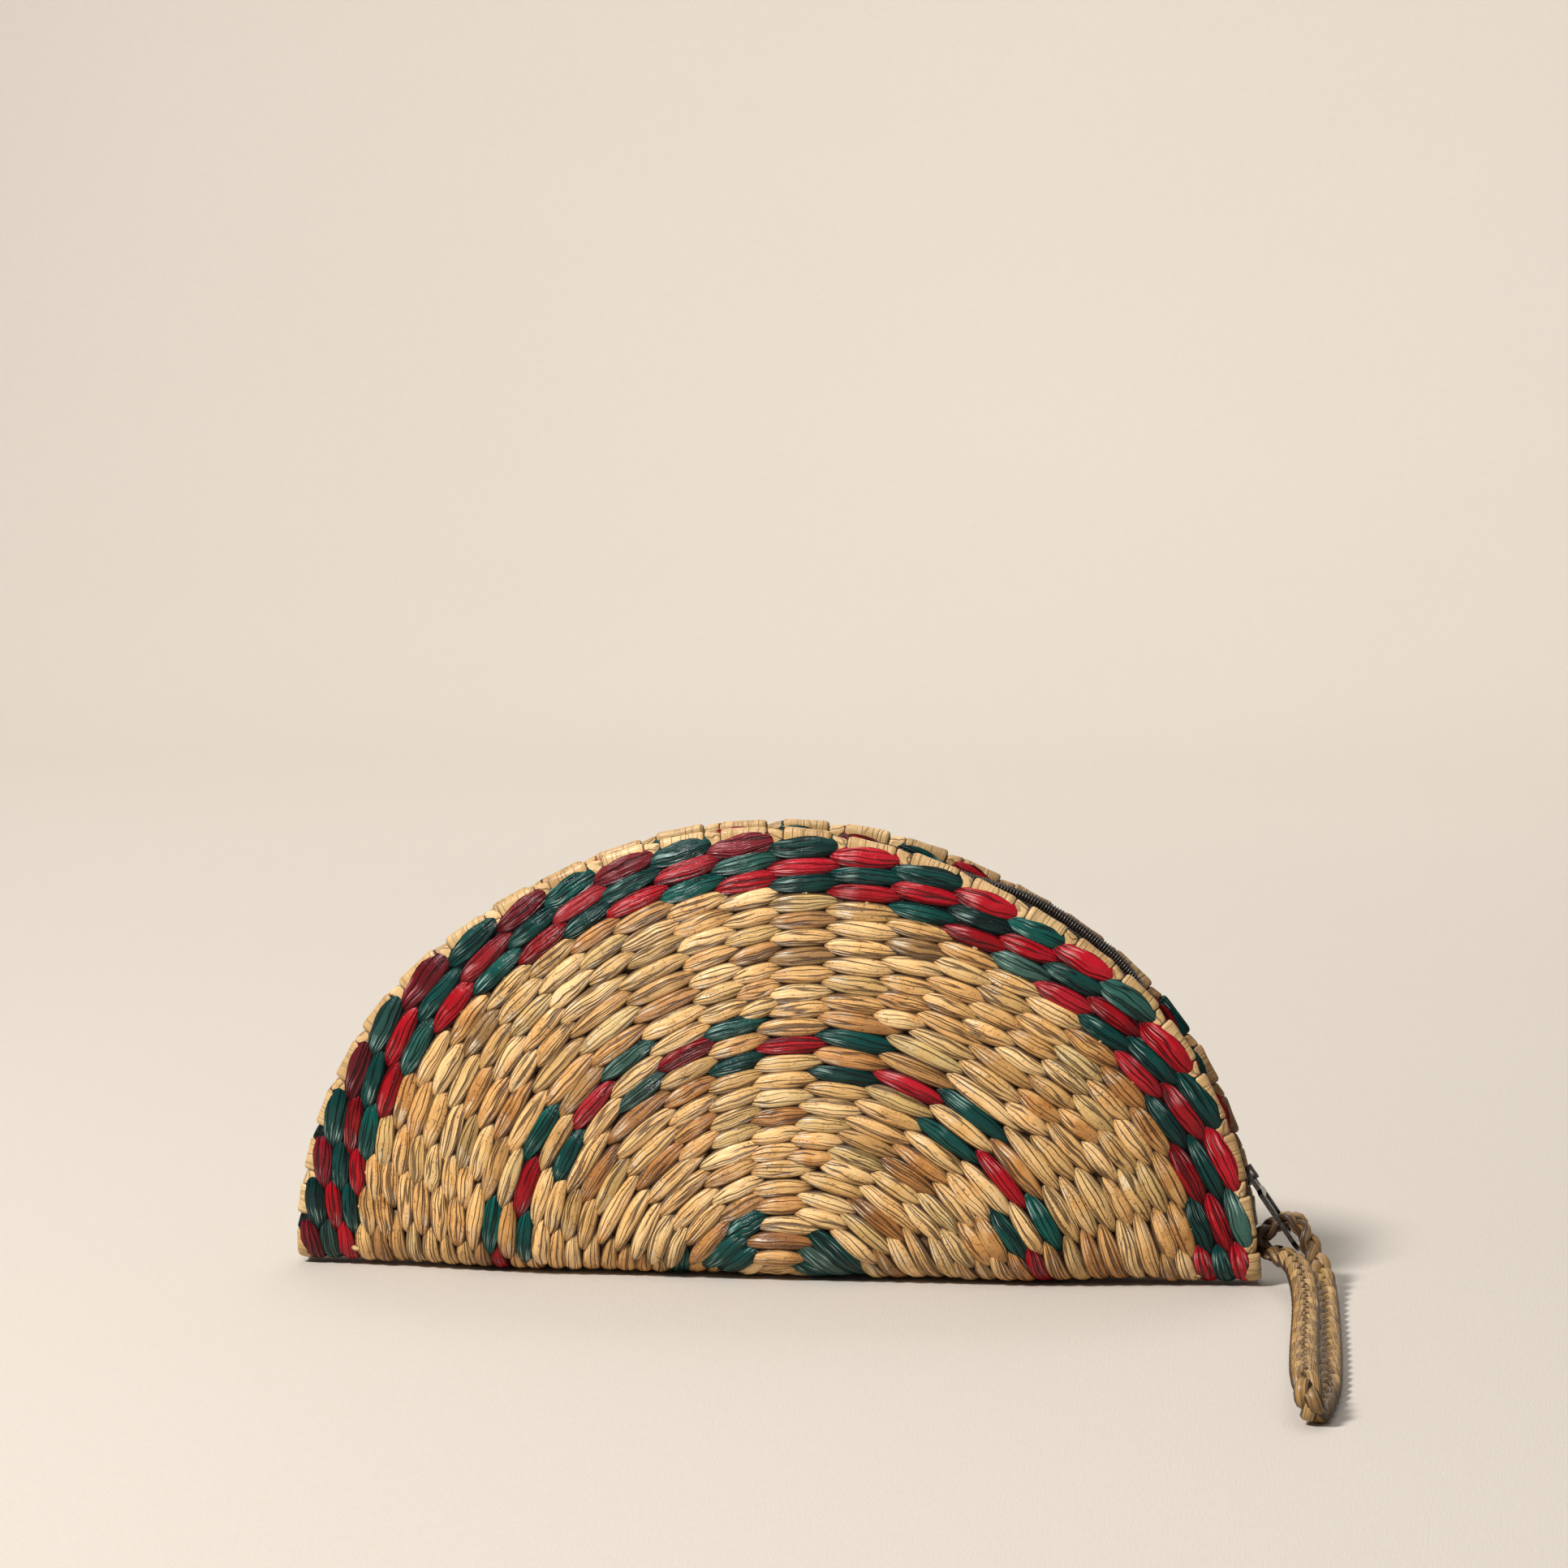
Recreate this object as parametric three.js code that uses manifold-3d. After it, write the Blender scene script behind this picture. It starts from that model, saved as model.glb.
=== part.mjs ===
// Half-moon clutch of twined water hyacinth. A round woven disc is folded in half and
// stands on its fold. A zip joins the two half-discs along the arched rim, and a plaited
// loop is threaded through the slotted pull tab of its slider.
// The frame has +X along the fold, -Y towards the front panel and +Z up, with the origin
// on the underside at the middle of the fold.

import * as THREE from 'three';
import { mergeVertices } from 'three/addons/utils/BufferGeometryUtils.js';
import Module from 'manifold-3d';

const wasm = await Module();
wasm.setup();

// Driving dimensions, in millimetres, with angles in degrees.
const DISC_RADIUS = 150;          // woven disc, to the outside of its rim
const WALL = 5.8;                 // thickness of the twined stalks
const SEAT_GAP = 0.3;             // between pieces that touch

const FLAT_HALF = 7.7;            // half width of the flat underside, at mid length
const FLAT_HALF_END = 2.0;        // and where the fold runs out at the rim
const BEND_RADIUS = 9.8;          // mid-wall radius of the two fold corners, at mid length
const BEND_RADIUS_END = 4.6;
const MOUTH_HALF = 12.0;          // half distance between the panels at the top of the arch
const BELLY = 1.6;                // how far each panel bows out between fold and mouth
const TIGHTEN_START = 0.45;       // share of the radius where the fold starts to tighten
const END_LIP = 3.0;              // panel above the fold corner at the woven wall's last section

const STAKES = 50;                // folded stake ends around the rim
const RIM_HEIGHT = 3.6;           // binding, measured in the plane of the panel
const RIM_WIDTH = 5.6;            // and across it
const NECK_SHARE = 0.62;          // size of a pinched neck against a sleeve

const TAPE_THICKNESS = 1.0;
const TAPE_HEM = 9.0;             // strip of tape stitched to the inside of the panel
const COIL_WIDTH = 2.4;
const COIL_HEIGHT = 2.0;
const ZIP_END_ANGLE = 7.0;        // from the end of the fold to the end of the zip
const PARTED_HALF = 1.35;         // half distance between the open teeth past the slider

const SLIDER_ANGLE = 14.3;
const SLIDER_LENGTH = 13.0;
const SLIDER_WIDTH = 8.4;
const PLATE_THICKNESS = 1.2;
const RUN_CLEARANCE = 0.5;        // between the slider and the teeth that run through it
const POST_LENGTH = 2.2;
const POST_WIDTH = 1.5;
const BRIDGE_OFFSET = 3.3;        // bridge, from the middle of the slider to its lower end
const BRIDGE_WIDTH = 1.8;
const BRIDGE_LEG = 1.1;
const BRIDGE_CROWN = 0.9;

const TAB_TILT = 0.0;             // pull tab, turned outwards from the slider
const TAB_LENGTH = 28.0;          // from the bar under the bridge to the tip
const TAB_WIDTH = 11.5;
const TAB_THICKNESS = 1.5;
const TAB_BAR = 1.4;              // bar that turns under the bridge
const TAB_NECK_WIDTH = 6.4;
const TAB_EYE_LENGTH = 4.0;       // hole that takes the bridge's leg
const TAB_RAIL = 1.5;             // side rails of the slot
const TAB_SLOT_START = 8.0;       // inner ends of the slot
const TAB_SLOT_END = 21.4;
const HINGE_CLEARANCE = 0.35;

const LOOP_DIAMETER = 4.8;        // the plait, as a plain round cord
const LOOP_SIDES = 8;
const LOOP_STEPS = 68;

// Level of the zip below the outside of the rim, along the arch from its right end.
const ZIP_LEVELS = [
  { angle: 0, below: 3.6 },
  { angle: 9, below: 4.2 },
  { angle: 20.5, below: 11.2 },
  { angle: 32, below: 8.2 },
  { angle: 46, below: 4.2 },
  { angle: 56, below: 3.8 },
  { angle: 68, below: 6.2 },
  { angle: 90, below: 8.0 },
  { angle: 180, below: 8.0 },
];

// Route of the plaited loop. It starts inside the slot of the tab, turns down behind the
// tab, runs forward above its own other leg, turns back at the far end and returns along
// the floor, over the tab and into the slot again.
const LOOP_ROUTE = [
  [155.0, 0.0, 19.1],
  [152.4, 0.0, 17.6],
  [149.9, 0.0, 15.9],
  [148.5, -0.1, 13.7],
  [148.9, -0.4, 11.5],
  [151.1, -1.3, 10.4],
  [153.8, -4.4, 10.2],
  [156.8, -10.0, 10.1],
  [159.9, -19.0, 9.9],
  [162.2, -36.0, 8.8],
  [163.8, -62.0, 7.8],
  [164.4, -92.0, 7.6],
  [164.8, -128.0, 8.6],
  [165.4, -160.0, 10.6],
  [165.9, -176.0, 11.8],
  [166.4, -183.0, 11.6],
  [167.2, -187.6, 9.0],
  [168.0, -188.2, 5.6],
  [169.0, -184.4, 3.0],
  [170.2, -176.0, 2.6],
  [171.6, -152.0, 2.6],
  [171.4, -118.0, 2.6],
  [170.6, -84.0, 2.6],
  [169.6, -52.0, 2.7],
  [168.6, -30.0, 3.7],
  [167.4, -16.0, 6.2],
  [165.2, -8.0, 10.6],
  [162.7, -3.8, 15.6],
  [160.2, -1.6, 19.2],
  [157.6, -0.3, 20.5],
  [155.35, 0.0, 19.35],
];

// Values that follow from the driving dimensions.
const WOVEN_RADIUS = DISC_RADIUS - RIM_HEIGHT - SEAT_GAP;
const PANEL_RUN = DISC_RADIUS - FLAT_HALF - BEND_RADIUS * Math.PI / 2;
const ZIP_STACK = TAPE_THICKNESS + SEAT_GAP + COIL_HEIGHT;

const { degToRad, lerp, radToDeg, smoothstep } = THREE.MathUtils;

// Half width of the flat underside and the corner radius of the fold at one place on it.
function foldAt(x) {
  const share = smoothstep(Math.abs(x) / DISC_RADIUS, TIGHTEN_START, 1);
  return {
    flat: lerp(FLAT_HALF, FLAT_HALF_END, share),
    bend: lerp(BEND_RADIUS, BEND_RADIUS_END, share),
  };
}

// A point of the flat disc, at x along the fold and run across it, carried onto the folded
// bag. Lift is measured from the middle of the wall, towards the outside of the bag.
function foldedPoint(x, run, lift = 0) {
  const { flat, bend } = foldAt(x);
  const side = run < 0 ? -1 : 1;
  const length = Math.abs(run);
  const bendLength = bend * Math.PI / 2;
  let y = length;
  let z = 0;
  let slope = new THREE.Vector2(1, 0);
  if (length > flat + bendLength) {
    const climb = length - flat - bendLength;
    const share = climb / PANEL_RUN;
    y = lerp(flat + bend, MOUTH_HALF, share) + BELLY * 4 * share * (1 - share);
    z = bend + climb;
    const lean = (MOUTH_HALF - flat - bend + BELLY * 4 * (1 - 2 * share)) / PANEL_RUN;
    slope = new THREE.Vector2(lean, 1).normalize();
  } else if (length > flat) {
    const turn = (length - flat) / bend;
    y = flat + bend * Math.sin(turn);
    z = bend * (1 - Math.cos(turn));
    slope = new THREE.Vector2(Math.cos(turn), Math.sin(turn));
  }
  return new THREE.Vector3(x, side * (y + slope.y * lift), WALL / 2 + z - slope.x * lift);
}

// The same for a place on the disc given by its radius and its angle from the right end.
function discPoint(radius, angle, lift = 0) {
  const turn = degToRad(angle);
  return foldedPoint(radius * Math.cos(turn), radius * Math.sin(turn), lift);
}

// One closed body from points and triangles, turned so that its faces point out.
function closedBody(points, faces) {
  let volume = 0;
  for (const [a, b, c] of faces) {
    volume += points[a].dot(points[b].clone().cross(points[c]));
  }
  const outward = faces.map(([a, b, c]) => (volume > 0 ? [a, b, c] : [a, c, b]));
  const geometry = new THREE.BufferGeometry().setFromPoints(points);
  geometry.setIndex(outward.flat());
  geometry.computeVertexNormals();
  return geometry;
}

// A body through a row of sections with equal numbers of points. It either closes on its
// first section or is capped at both ends with the flat outline of a section.
function loftedBody(sections, capOutline = null) {
  const count = sections[0].length;
  const steps = capOutline ? sections.length - 1 : sections.length;
  const faces = [];
  for (let i = 0; i < steps; i += 1) {
    const here = i * count;
    const next = ((i + 1) % sections.length) * count;
    for (let j = 0; j < count; j += 1) {
      const k = (j + 1) % count;
      faces.push([here + j, next + j, next + k], [here + j, next + k, here + k]);
    }
  }
  if (capOutline) {
    const last = (sections.length - 1) * count;
    const clockwise = THREE.ShapeUtils.isClockWise(capOutline);
    for (const [a, b, c] of THREE.ShapeUtils.triangulateShape(capOutline, [])) {
      const [p, q, r] = clockwise ? [a, c, b] : [a, b, c];
      faces.push([p, q, r], [last + p, last + r, last + q]);
    }
  }
  return closedBody(sections.flat(), faces);
}

// Solids for cutting and joining.
function toSolid(geometry) {
  const bare = new THREE.BufferGeometry();
  bare.setAttribute('position', geometry.attributes.position.clone());
  if (geometry.index) bare.setIndex(geometry.index.clone());
  const merged = mergeVertices(bare, 1e-4);
  return new wasm.Manifold(new wasm.Mesh({
    numProp: 3,
    vertProperties: new Float32Array(merged.attributes.position.array),
    triVerts: new Uint32Array(merged.index.array),
  }));
}

function fromSolid(solid) {
  const mesh = solid.getMesh();
  const geometry = new THREE.BufferGeometry();
  geometry.setAttribute('position', new THREE.BufferAttribute(mesh.vertProperties, 3));
  geometry.setIndex(new THREE.BufferAttribute(mesh.triVerts, 1));
  geometry.computeVertexNormals();
  return geometry;
}

// Runs along half of a section: the flat underside, the bend and the panel up to its edge.
function sectionRuns(x, edgeRun, bendSteps, panelSteps) {
  const { flat, bend } = foldAt(x);
  const bendEnd = flat + bend * Math.PI / 2;
  const runs = [0, flat];
  for (let i = 1; i <= bendSteps; i += 1) runs.push(flat + (bendEnd - flat) * i / bendSteps);
  for (let i = 1; i <= panelSteps; i += 1) runs.push(lerp(bendEnd, edgeRun, i / panelSteps));
  return runs;
}

// The folded disc: a wall through sections across the fold, open along the arched mouth.
function wovenShell() {
  const endBend = foldAt(WOVEN_RADIUS);
  const endRun = endBend.flat + endBend.bend * Math.PI / 2 + END_LIP;
  const endTurn = Math.acos(endRun / WOVEN_RADIUS);
  const steps = 30;
  const sections = [];
  for (let i = 0; i <= steps; i += 1) {
    const turn = lerp(-endTurn, endTurn, i / steps);
    const x = WOVEN_RADIUS * Math.sin(turn);
    const half = sectionRuns(x, WOVEN_RADIUS * Math.cos(turn), 5, 6);
    const runs = [...half.slice(1).reverse().map((run) => -run), ...half];
    const outside = runs.map((run) => foldedPoint(x, run, WALL / 2));
    const inside = runs.map((run) => foldedPoint(x, run, -WALL / 2)).reverse();
    sections.push([...outside, ...inside]);
  }
  const cap = sections[0].map((point) => new THREE.Vector2(point.y, point.z));
  return loftedBody(sections, cap);
}

// Angles along the rim where the binding has a section, and its size there. A sleeve has
// full size, and the pinched neck between two sleeves is smaller.
function rimSections() {
  const pitch = 360 / STAKES;
  const profile = [
    { share: 0.09, size: NECK_SHARE },
    { share: 0.16, size: 0.94 },
    { share: 0.50, size: 1.00 },
    { share: 0.84, size: 0.94 },
    { share: 0.91, size: NECK_SHARE },
  ];
  const marks = [];
  for (let stake = 0; stake < STAKES; stake += 1) {
    for (const { share, size } of profile) marks.push({ angle: (stake + share) * pitch, size });
  }
  const sections = [];
  marks.forEach((mark, i) => {
    const next = marks[(i + 1) % marks.length];
    const span = (next.angle - mark.angle + 360) % 360;
    const run = DISC_RADIUS * Math.abs(Math.sin(degToRad(mark.angle + span / 2)));
    const { flat, bend } = foldAt(DISC_RADIUS);
    const onFold = run < flat + bend * Math.PI / 2 + END_LIP;
    const parts = onFold ? Math.ceil(degToRad(span) * DISC_RADIUS / (bend / 3)) : 1;
    for (let k = 0; k < parts; k += 1) {
      const share = k / parts;
      sections.push({ angle: mark.angle + span * share, size: lerp(mark.size, next.size, share) });
    }
  });
  return sections;
}

// The binding of folded stake ends, one ring around the whole edge of the disc.
function rimBinding() {
  const centre = DISC_RADIUS - RIM_HEIGHT / 2;
  const outline = [[1, 0.5], [0.55, 1], [-0.55, 1], [-1, 0.5], [-1, -0.5], [-0.55, -1], [0.55, -1], [1, -0.5]];
  const sections = rimSections().map(({ angle, size }) => {
    const middle = discPoint(centre, angle);
    const outward = discPoint(centre + 0.5, angle).sub(discPoint(centre - 0.5, angle)).normalize();
    const across = discPoint(centre, angle, 0.5).sub(discPoint(centre, angle, -0.5));
    across.addScaledVector(outward, -across.dot(outward)).normalize();
    return outline.map(([u, v]) => middle.clone()
      .addScaledVector(outward, u * size * RIM_HEIGHT / 2)
      .addScaledVector(across, v * size * RIM_WIDTH / 2));
  });
  return loftedBody(sections);
}

// Distance of the zip below the outside of the rim at one angle along the arch.
function zipDepth(angle) {
  const i = ZIP_LEVELS.findIndex((level) => level.angle >= angle);
  if (i <= 0) return ZIP_LEVELS[0].below;
  const [from, to] = [ZIP_LEVELS[i - 1], ZIP_LEVELS[i]];
  return lerp(from.below, to.below, smoothstep(angle, from.angle, to.angle));
}

// A point of the zip: rise is measured from the underside of the tape.
function zipPoint(angle, rise, y) {
  const point = discPoint(DISC_RADIUS - zipDepth(angle) + rise, angle);
  return new THREE.Vector3(point.x, y, point.z);
}

// Inside face of the back panel, as a distance from the middle plane of the bag.
function insideHalf(angle, rise) {
  return discPoint(DISC_RADIUS - zipDepth(angle) + rise, angle, -WALL / 2).y;
}

const degreesPer = (length) => radToDeg(length / DISC_RADIUS);

// Half distance between the two rows of teeth: closed above the slider and parted below.
function toothHalf(angle) {
  const closed = SLIDER_ANGLE + degreesPer(SLIDER_LENGTH / 4);
  const open = SLIDER_ANGLE - degreesPer(POST_LENGTH / 4);
  return lerp(PARTED_HALF, SEAT_GAP / 2, smoothstep(angle, open, closed));
}

// Angles along the arch where the zip has a section, closer together near the slider.
function zipAngles() {
  const half = degreesPer(SLIDER_LENGTH / 2);
  const angles = [ZIP_END_ANGLE];
  for (let i = -4; i <= 4; i += 1) angles.push(SLIDER_ANGLE + half * i / 3);
  const first = angles.at(-1);
  const steps = 34;
  for (let i = 1; i <= steps; i += 1) angles.push(lerp(first, 180 - ZIP_END_ANGLE, i / steps));
  return angles;
}

// One tape: its hem lies against the inside of the panel, and it turns over to the teeth.
function zipTape(side) {
  const outline = (angle) => {
    const edge = toothHalf(angle);
    const top = TAPE_THICKNESS;
    const wall = (rise) => insideHalf(angle, rise) - SEAT_GAP;
    return [
      [-TAPE_HEM, wall(-TAPE_HEM)],
      [-TAPE_HEM / 2, wall(-TAPE_HEM / 2)],
      [top, wall(top)],
      [top, edge],
      [0, edge],
      [0, wall(0) - TAPE_THICKNESS],
      [-TAPE_HEM / 2, wall(-TAPE_HEM / 2) - TAPE_THICKNESS],
      [-TAPE_HEM, wall(-TAPE_HEM) - TAPE_THICKNESS],
    ];
  };
  const sections = zipAngles().map((angle) => outline(angle)
    .map(([rise, y]) => zipPoint(angle, rise, side * y)));
  const cap = outline(ZIP_END_ANGLE).map(([rise, y]) => new THREE.Vector2(rise, y));
  return loftedBody(sections, cap);
}

// One row of teeth, as a plain bar on the edge of its tape.
function zipCoil(side) {
  const outline = [[-1, -0.6], [-1, 0.6], [0, 1], [1, 0.6], [1, -0.6], [0, -1]];
  const middle = TAPE_THICKNESS + SEAT_GAP + COIL_HEIGHT / 2;
  const sections = zipAngles().map((angle) => outline.map(([u, v]) => zipPoint(
    angle,
    middle + u * COIL_HEIGHT / 2,
    side * (toothHalf(angle) + COIL_WIDTH / 2 + v * COIL_WIDTH / 2),
  )));
  return loftedBody(sections, outline.map(([u, v]) => new THREE.Vector2(u, v)));
}

// Frame of the slider: down along the zip, across the bag and away from the teeth.
function sliderFrame() {
  const half = degreesPer(SLIDER_LENGTH / 2);
  const along = zipPoint(SLIDER_ANGLE - half, 0, 0).sub(zipPoint(SLIDER_ANGLE + half, 0, 0)).normalize();
  const across = new THREE.Vector3(0, 1, 0);
  const away = along.clone().cross(across);
  const frame = new THREE.Matrix4().makeBasis(along, across, away);
  return frame.setPosition(zipPoint(SLIDER_ANGLE, 0, 0));
}

function box(length, width, height, x, y, z) {
  return toSolid(new THREE.BoxGeometry(length, width, height).translate(x, y, z));
}

// Plate with rounded ends, from one height to the next.
function plate(length, width, bottom, top) {
  const shape = new THREE.Shape();
  const [a, b] = [length / 2, width / 2];
  const straight = a - b * 0.8;
  shape.moveTo(-straight, -b);
  shape.lineTo(straight, -b);
  shape.absellipse(straight, 0, a - straight, b, -Math.PI / 2, Math.PI / 2);
  shape.lineTo(-straight, b);
  shape.absellipse(-straight, 0, a - straight, b, Math.PI / 2, Math.PI * 1.5);
  const geometry = new THREE.ExtrudeGeometry(shape, {
    depth: top - bottom, bevelEnabled: false, curveSegments: 8,
  });
  return toSolid(geometry.translate(0, 0, bottom));
}

const BRIDGE_OPENING = {
  length: TAB_BAR + 2 * HINGE_CLEARANCE + 0.3,
  height: TAB_THICKNESS + 2 * HINGE_CLEARANCE + 0.1,
};

// The slider: two plates held apart by a post between the parted teeth, and a bridge.
function zipSlider() {
  const under = -RUN_CLEARANCE - PLATE_THICKNESS;
  const over = ZIP_STACK + RUN_CLEARANCE;
  const top = over + PLATE_THICKNESS;
  const postX = SLIDER_LENGTH / 2 - POST_LENGTH / 2 - 0.6;
  const { length, height } = BRIDGE_OPENING;
  const bridgeLength = length + 2 * BRIDGE_LEG;
  const bridgeHeight = height + BRIDGE_CROWN;
  const bridge = box(bridgeLength, BRIDGE_WIDTH, bridgeHeight + 0.4, BRIDGE_OFFSET, 0, top + bridgeHeight / 2 - 0.2)
    .subtract(box(length, BRIDGE_WIDTH * 2, height, BRIDGE_OFFSET, 0, top + height / 2));
  return fromSolid(plate(SLIDER_LENGTH, SLIDER_WIDTH, over, top)
    .add(plate(SLIDER_LENGTH, SLIDER_WIDTH, under, -RUN_CLEARANCE))
    .add(box(POST_LENGTH, POST_WIDTH, top - under - 0.2, postX, 0, (top + under) / 2))
    .add(bridge));
}

// Outline of the pull tab: a narrow neck at the hinge, a shoulder and a rounded tip.
function tabShape() {
  const start = -TAB_BAR / 2;
  const neck = TAB_NECK_WIDTH / 2;
  const half = TAB_WIDTH / 2;
  const shoulder = TAB_BAR / 2 + TAB_EYE_LENGTH + 0.6;
  const widest = TAB_SLOT_START - TAB_RAIL;
  const tip = TAB_LENGTH - half * 0.7;
  const shape = new THREE.Shape();
  shape.moveTo(start, -neck);
  shape.lineTo(shoulder, -neck);
  shape.lineTo(widest, -half);
  shape.lineTo(tip, -half);
  shape.absellipse(tip, 0, TAB_LENGTH - tip, half, -Math.PI / 2, Math.PI / 2);
  shape.lineTo(widest, half);
  shape.lineTo(shoulder, neck);
  shape.lineTo(start, neck);
  shape.closePath();
  const eyeHalf = BRIDGE_WIDTH / 2 + HINGE_CLEARANCE;
  const slotHalf = half - TAB_RAIL;
  shape.holes.push(rectangle(TAB_BAR / 2, TAB_BAR / 2 + TAB_EYE_LENGTH, eyeHalf));
  shape.holes.push(rectangle(TAB_SLOT_START, TAB_SLOT_END, slotHalf));
  return shape;
}

function rectangle(from, to, half) {
  return new THREE.Path([[from, -half], [from, half], [to, half], [to, -half]]
    .map(([x, y]) => new THREE.Vector2(x, y)));
}

// Frame of the tab, with its origin on the bar under the bridge.
function tabFrame() {
  const top = ZIP_STACK + RUN_CLEARANCE + PLATE_THICKNESS;
  const frame = sliderFrame();
  frame.multiply(new THREE.Matrix4().makeTranslation(BRIDGE_OFFSET, 0, top + BRIDGE_OPENING.height / 2));
  return frame.multiply(new THREE.Matrix4().makeRotationY(-degToRad(TAB_TILT)));
}

function zipPullTab() {
  const geometry = new THREE.ExtrudeGeometry(tabShape(), {
    depth: TAB_THICKNESS, bevelEnabled: false, curveSegments: 8,
  });
  return fromSolid(toSolid(geometry.translate(0, 0, -TAB_THICKNESS / 2)));
}

// The plaited loop as a plain tube along its route, open where its ends meet in the slot.
function pullLoop() {
  const points = LOOP_ROUTE.map(([x, y, z]) => new THREE.Vector3(x, y, z));
  const section = new THREE.Shape();
  for (let i = 0; i < LOOP_SIDES; i += 1) {
    const turn = (i / LOOP_SIDES) * Math.PI * 2;
    const [x, y] = [Math.cos(turn), Math.sin(turn)].map((share) => share * LOOP_DIAMETER / 2);
    if (i === 0) section.moveTo(x, y);
    else section.lineTo(x, y);
  }
  section.closePath();
  return new THREE.ExtrudeGeometry(section, {
    steps: LOOP_STEPS,
    bevelEnabled: false,
    extrudePath: new THREE.CatmullRomCurve3(points, false, 'centripetal'),
  });
}

const MATERIALS = {
  hyacinth: new THREE.MeshStandardMaterial({ color: 0xb98f55, roughness: 0.7 }),
  rim: new THREE.MeshStandardMaterial({ color: 0xcaa268, roughness: 0.65 }),
  tape: new THREE.MeshStandardMaterial({ color: 0x241a15, roughness: 0.9 }),
  coil: new THREE.MeshStandardMaterial({ color: 0x15110f, roughness: 0.45 }),
  gunmetal: new THREE.MeshStandardMaterial({ color: 0x4b4a48, roughness: 0.3, metalness: 1 }),
  plait: new THREE.MeshStandardMaterial({ color: 0x9b7a48, roughness: 0.75 }),
};

const bag = new THREE.Group();

function addPiece(name, geometry, material, frame = null) {
  const piece = new THREE.Mesh(geometry, material);
  piece.name = name;
  if (frame) frame.decompose(piece.position, piece.quaternion, piece.scale);
  bag.add(piece);
}

addPiece('woven_shell', wovenShell(), MATERIALS.hyacinth);
addPiece('rim_binding', rimBinding(), MATERIALS.rim);
addPiece('zip_tape_front', zipTape(-1), MATERIALS.tape);
addPiece('zip_tape_back', zipTape(1), MATERIALS.tape);
addPiece('zip_coil_front', zipCoil(-1), MATERIALS.coil);
addPiece('zip_coil_back', zipCoil(1), MATERIALS.coil);
addPiece('zip_slider', zipSlider(), MATERIALS.gunmetal, sliderFrame());
addPiece('zip_pull_tab', zipPullTab(), MATERIALS.gunmetal, tabFrame());
addPiece('pull_loop', pullLoop(), MATERIALS.plait);

export default bag;
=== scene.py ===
"""Dresses the half-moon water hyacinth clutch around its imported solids."""

import logging
import math
import random
from dataclasses import dataclass, replace
from enum import Enum
from typing import Callable, Optional, Sequence

import bmesh
import bpy
from mathutils import Matrix, Vector


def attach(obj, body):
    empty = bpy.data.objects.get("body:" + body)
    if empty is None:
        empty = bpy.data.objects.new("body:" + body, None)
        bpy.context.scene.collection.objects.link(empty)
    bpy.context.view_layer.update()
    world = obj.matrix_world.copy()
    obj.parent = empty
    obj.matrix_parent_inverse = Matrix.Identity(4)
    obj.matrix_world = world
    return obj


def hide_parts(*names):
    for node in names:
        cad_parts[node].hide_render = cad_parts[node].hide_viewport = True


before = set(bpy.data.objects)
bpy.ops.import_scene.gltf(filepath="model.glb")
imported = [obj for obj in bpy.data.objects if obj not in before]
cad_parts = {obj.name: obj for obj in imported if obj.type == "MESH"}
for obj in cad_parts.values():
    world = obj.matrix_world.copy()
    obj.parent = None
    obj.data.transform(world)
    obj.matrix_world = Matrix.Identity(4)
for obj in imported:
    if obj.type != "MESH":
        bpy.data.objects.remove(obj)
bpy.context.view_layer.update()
LOG = logging.getLogger("clutch")
MM = 0.001
BODY = "root"
Colour = tuple[float, float, float]
Span = tuple[float, float]
Socket = bpy.types.NodeSocket


def clamp(value: float, low: float = 0.0, high: float = 1.0) -> float:
    """Returns the value held between low and high."""
    return max(low, min(high, value))


def lerp(start: float, end: float, share: float) -> float:
    """Returns the value at a share of the way from start to end."""
    return start + (end - start) * share


def smoothstep(value: float, low: float, high: float) -> float:
    """Returns a smooth rise from 0 at low to 1 at high."""
    share = clamp((value - low) / (high - low))
    return share * share * (3.0 - 2.0 * share)


def put(name: str, data: bpy.types.ID) -> bpy.types.Object:
    """Makes an object of some data and links it to the scene."""
    made = bpy.data.objects.new(name, data)
    bpy.context.scene.collection.objects.link(made)
    return made


def tween(start: Vector, end: Vector, low: float, high: float, time: float) -> Vector:
    """Returns the point at one time of a straight way from start at low to end at high."""
    return start * ((high - time) / (high - low)) + end * ((time - low) / (high - low))


def heading(line: Sequence[Vector], index: int) -> Vector:
    """Returns the direction in which a line runs at one of its points."""
    return (line[min(index + 1, len(line) - 1)] - line[max(index - 1, 0)]).normalized()


def reach(line: Sequence[Vector]) -> float:
    """Returns the length of a line of points."""
    return sum((end - start).length for start, end in zip(line, line[1:]))


def directions(angle: float) -> tuple[Vector, Vector]:
    """Returns the flat disc's directions outwards and onwards at an angle in degrees."""
    turn = math.radians(angle)
    return Vector((math.cos(turn), math.sin(turn))), Vector((math.sin(turn), -math.cos(turn)))


def neighbours(angles: Sequence[float], index: int) -> Span:
    """Returns the angles before and after one of a full turn of rising angles."""
    before = angles[index - 1] - (360.0 if index == 0 else 0.0)
    after = angles[(index + 1) % len(angles)] + (360.0 if index == len(angles) - 1 else 0.0)
    return before, after


def grow(shape: bmesh.types.BMesh, edges: Sequence[bmesh.types.BMEdge]) -> tuple[list, list]:
    """Extrudes edges, and returns the new vertices and the new edges between them."""
    made = bmesh.ops.extrude_edge_only(shape, edges=edges)["geom"]
    verts = [item for item in made if isinstance(item, bmesh.types.BMVert)]
    rim = [item for item in made if isinstance(item, bmesh.types.BMEdge)
           and all(vert in verts for vert in item.verts)]
    return verts, rim


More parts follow.
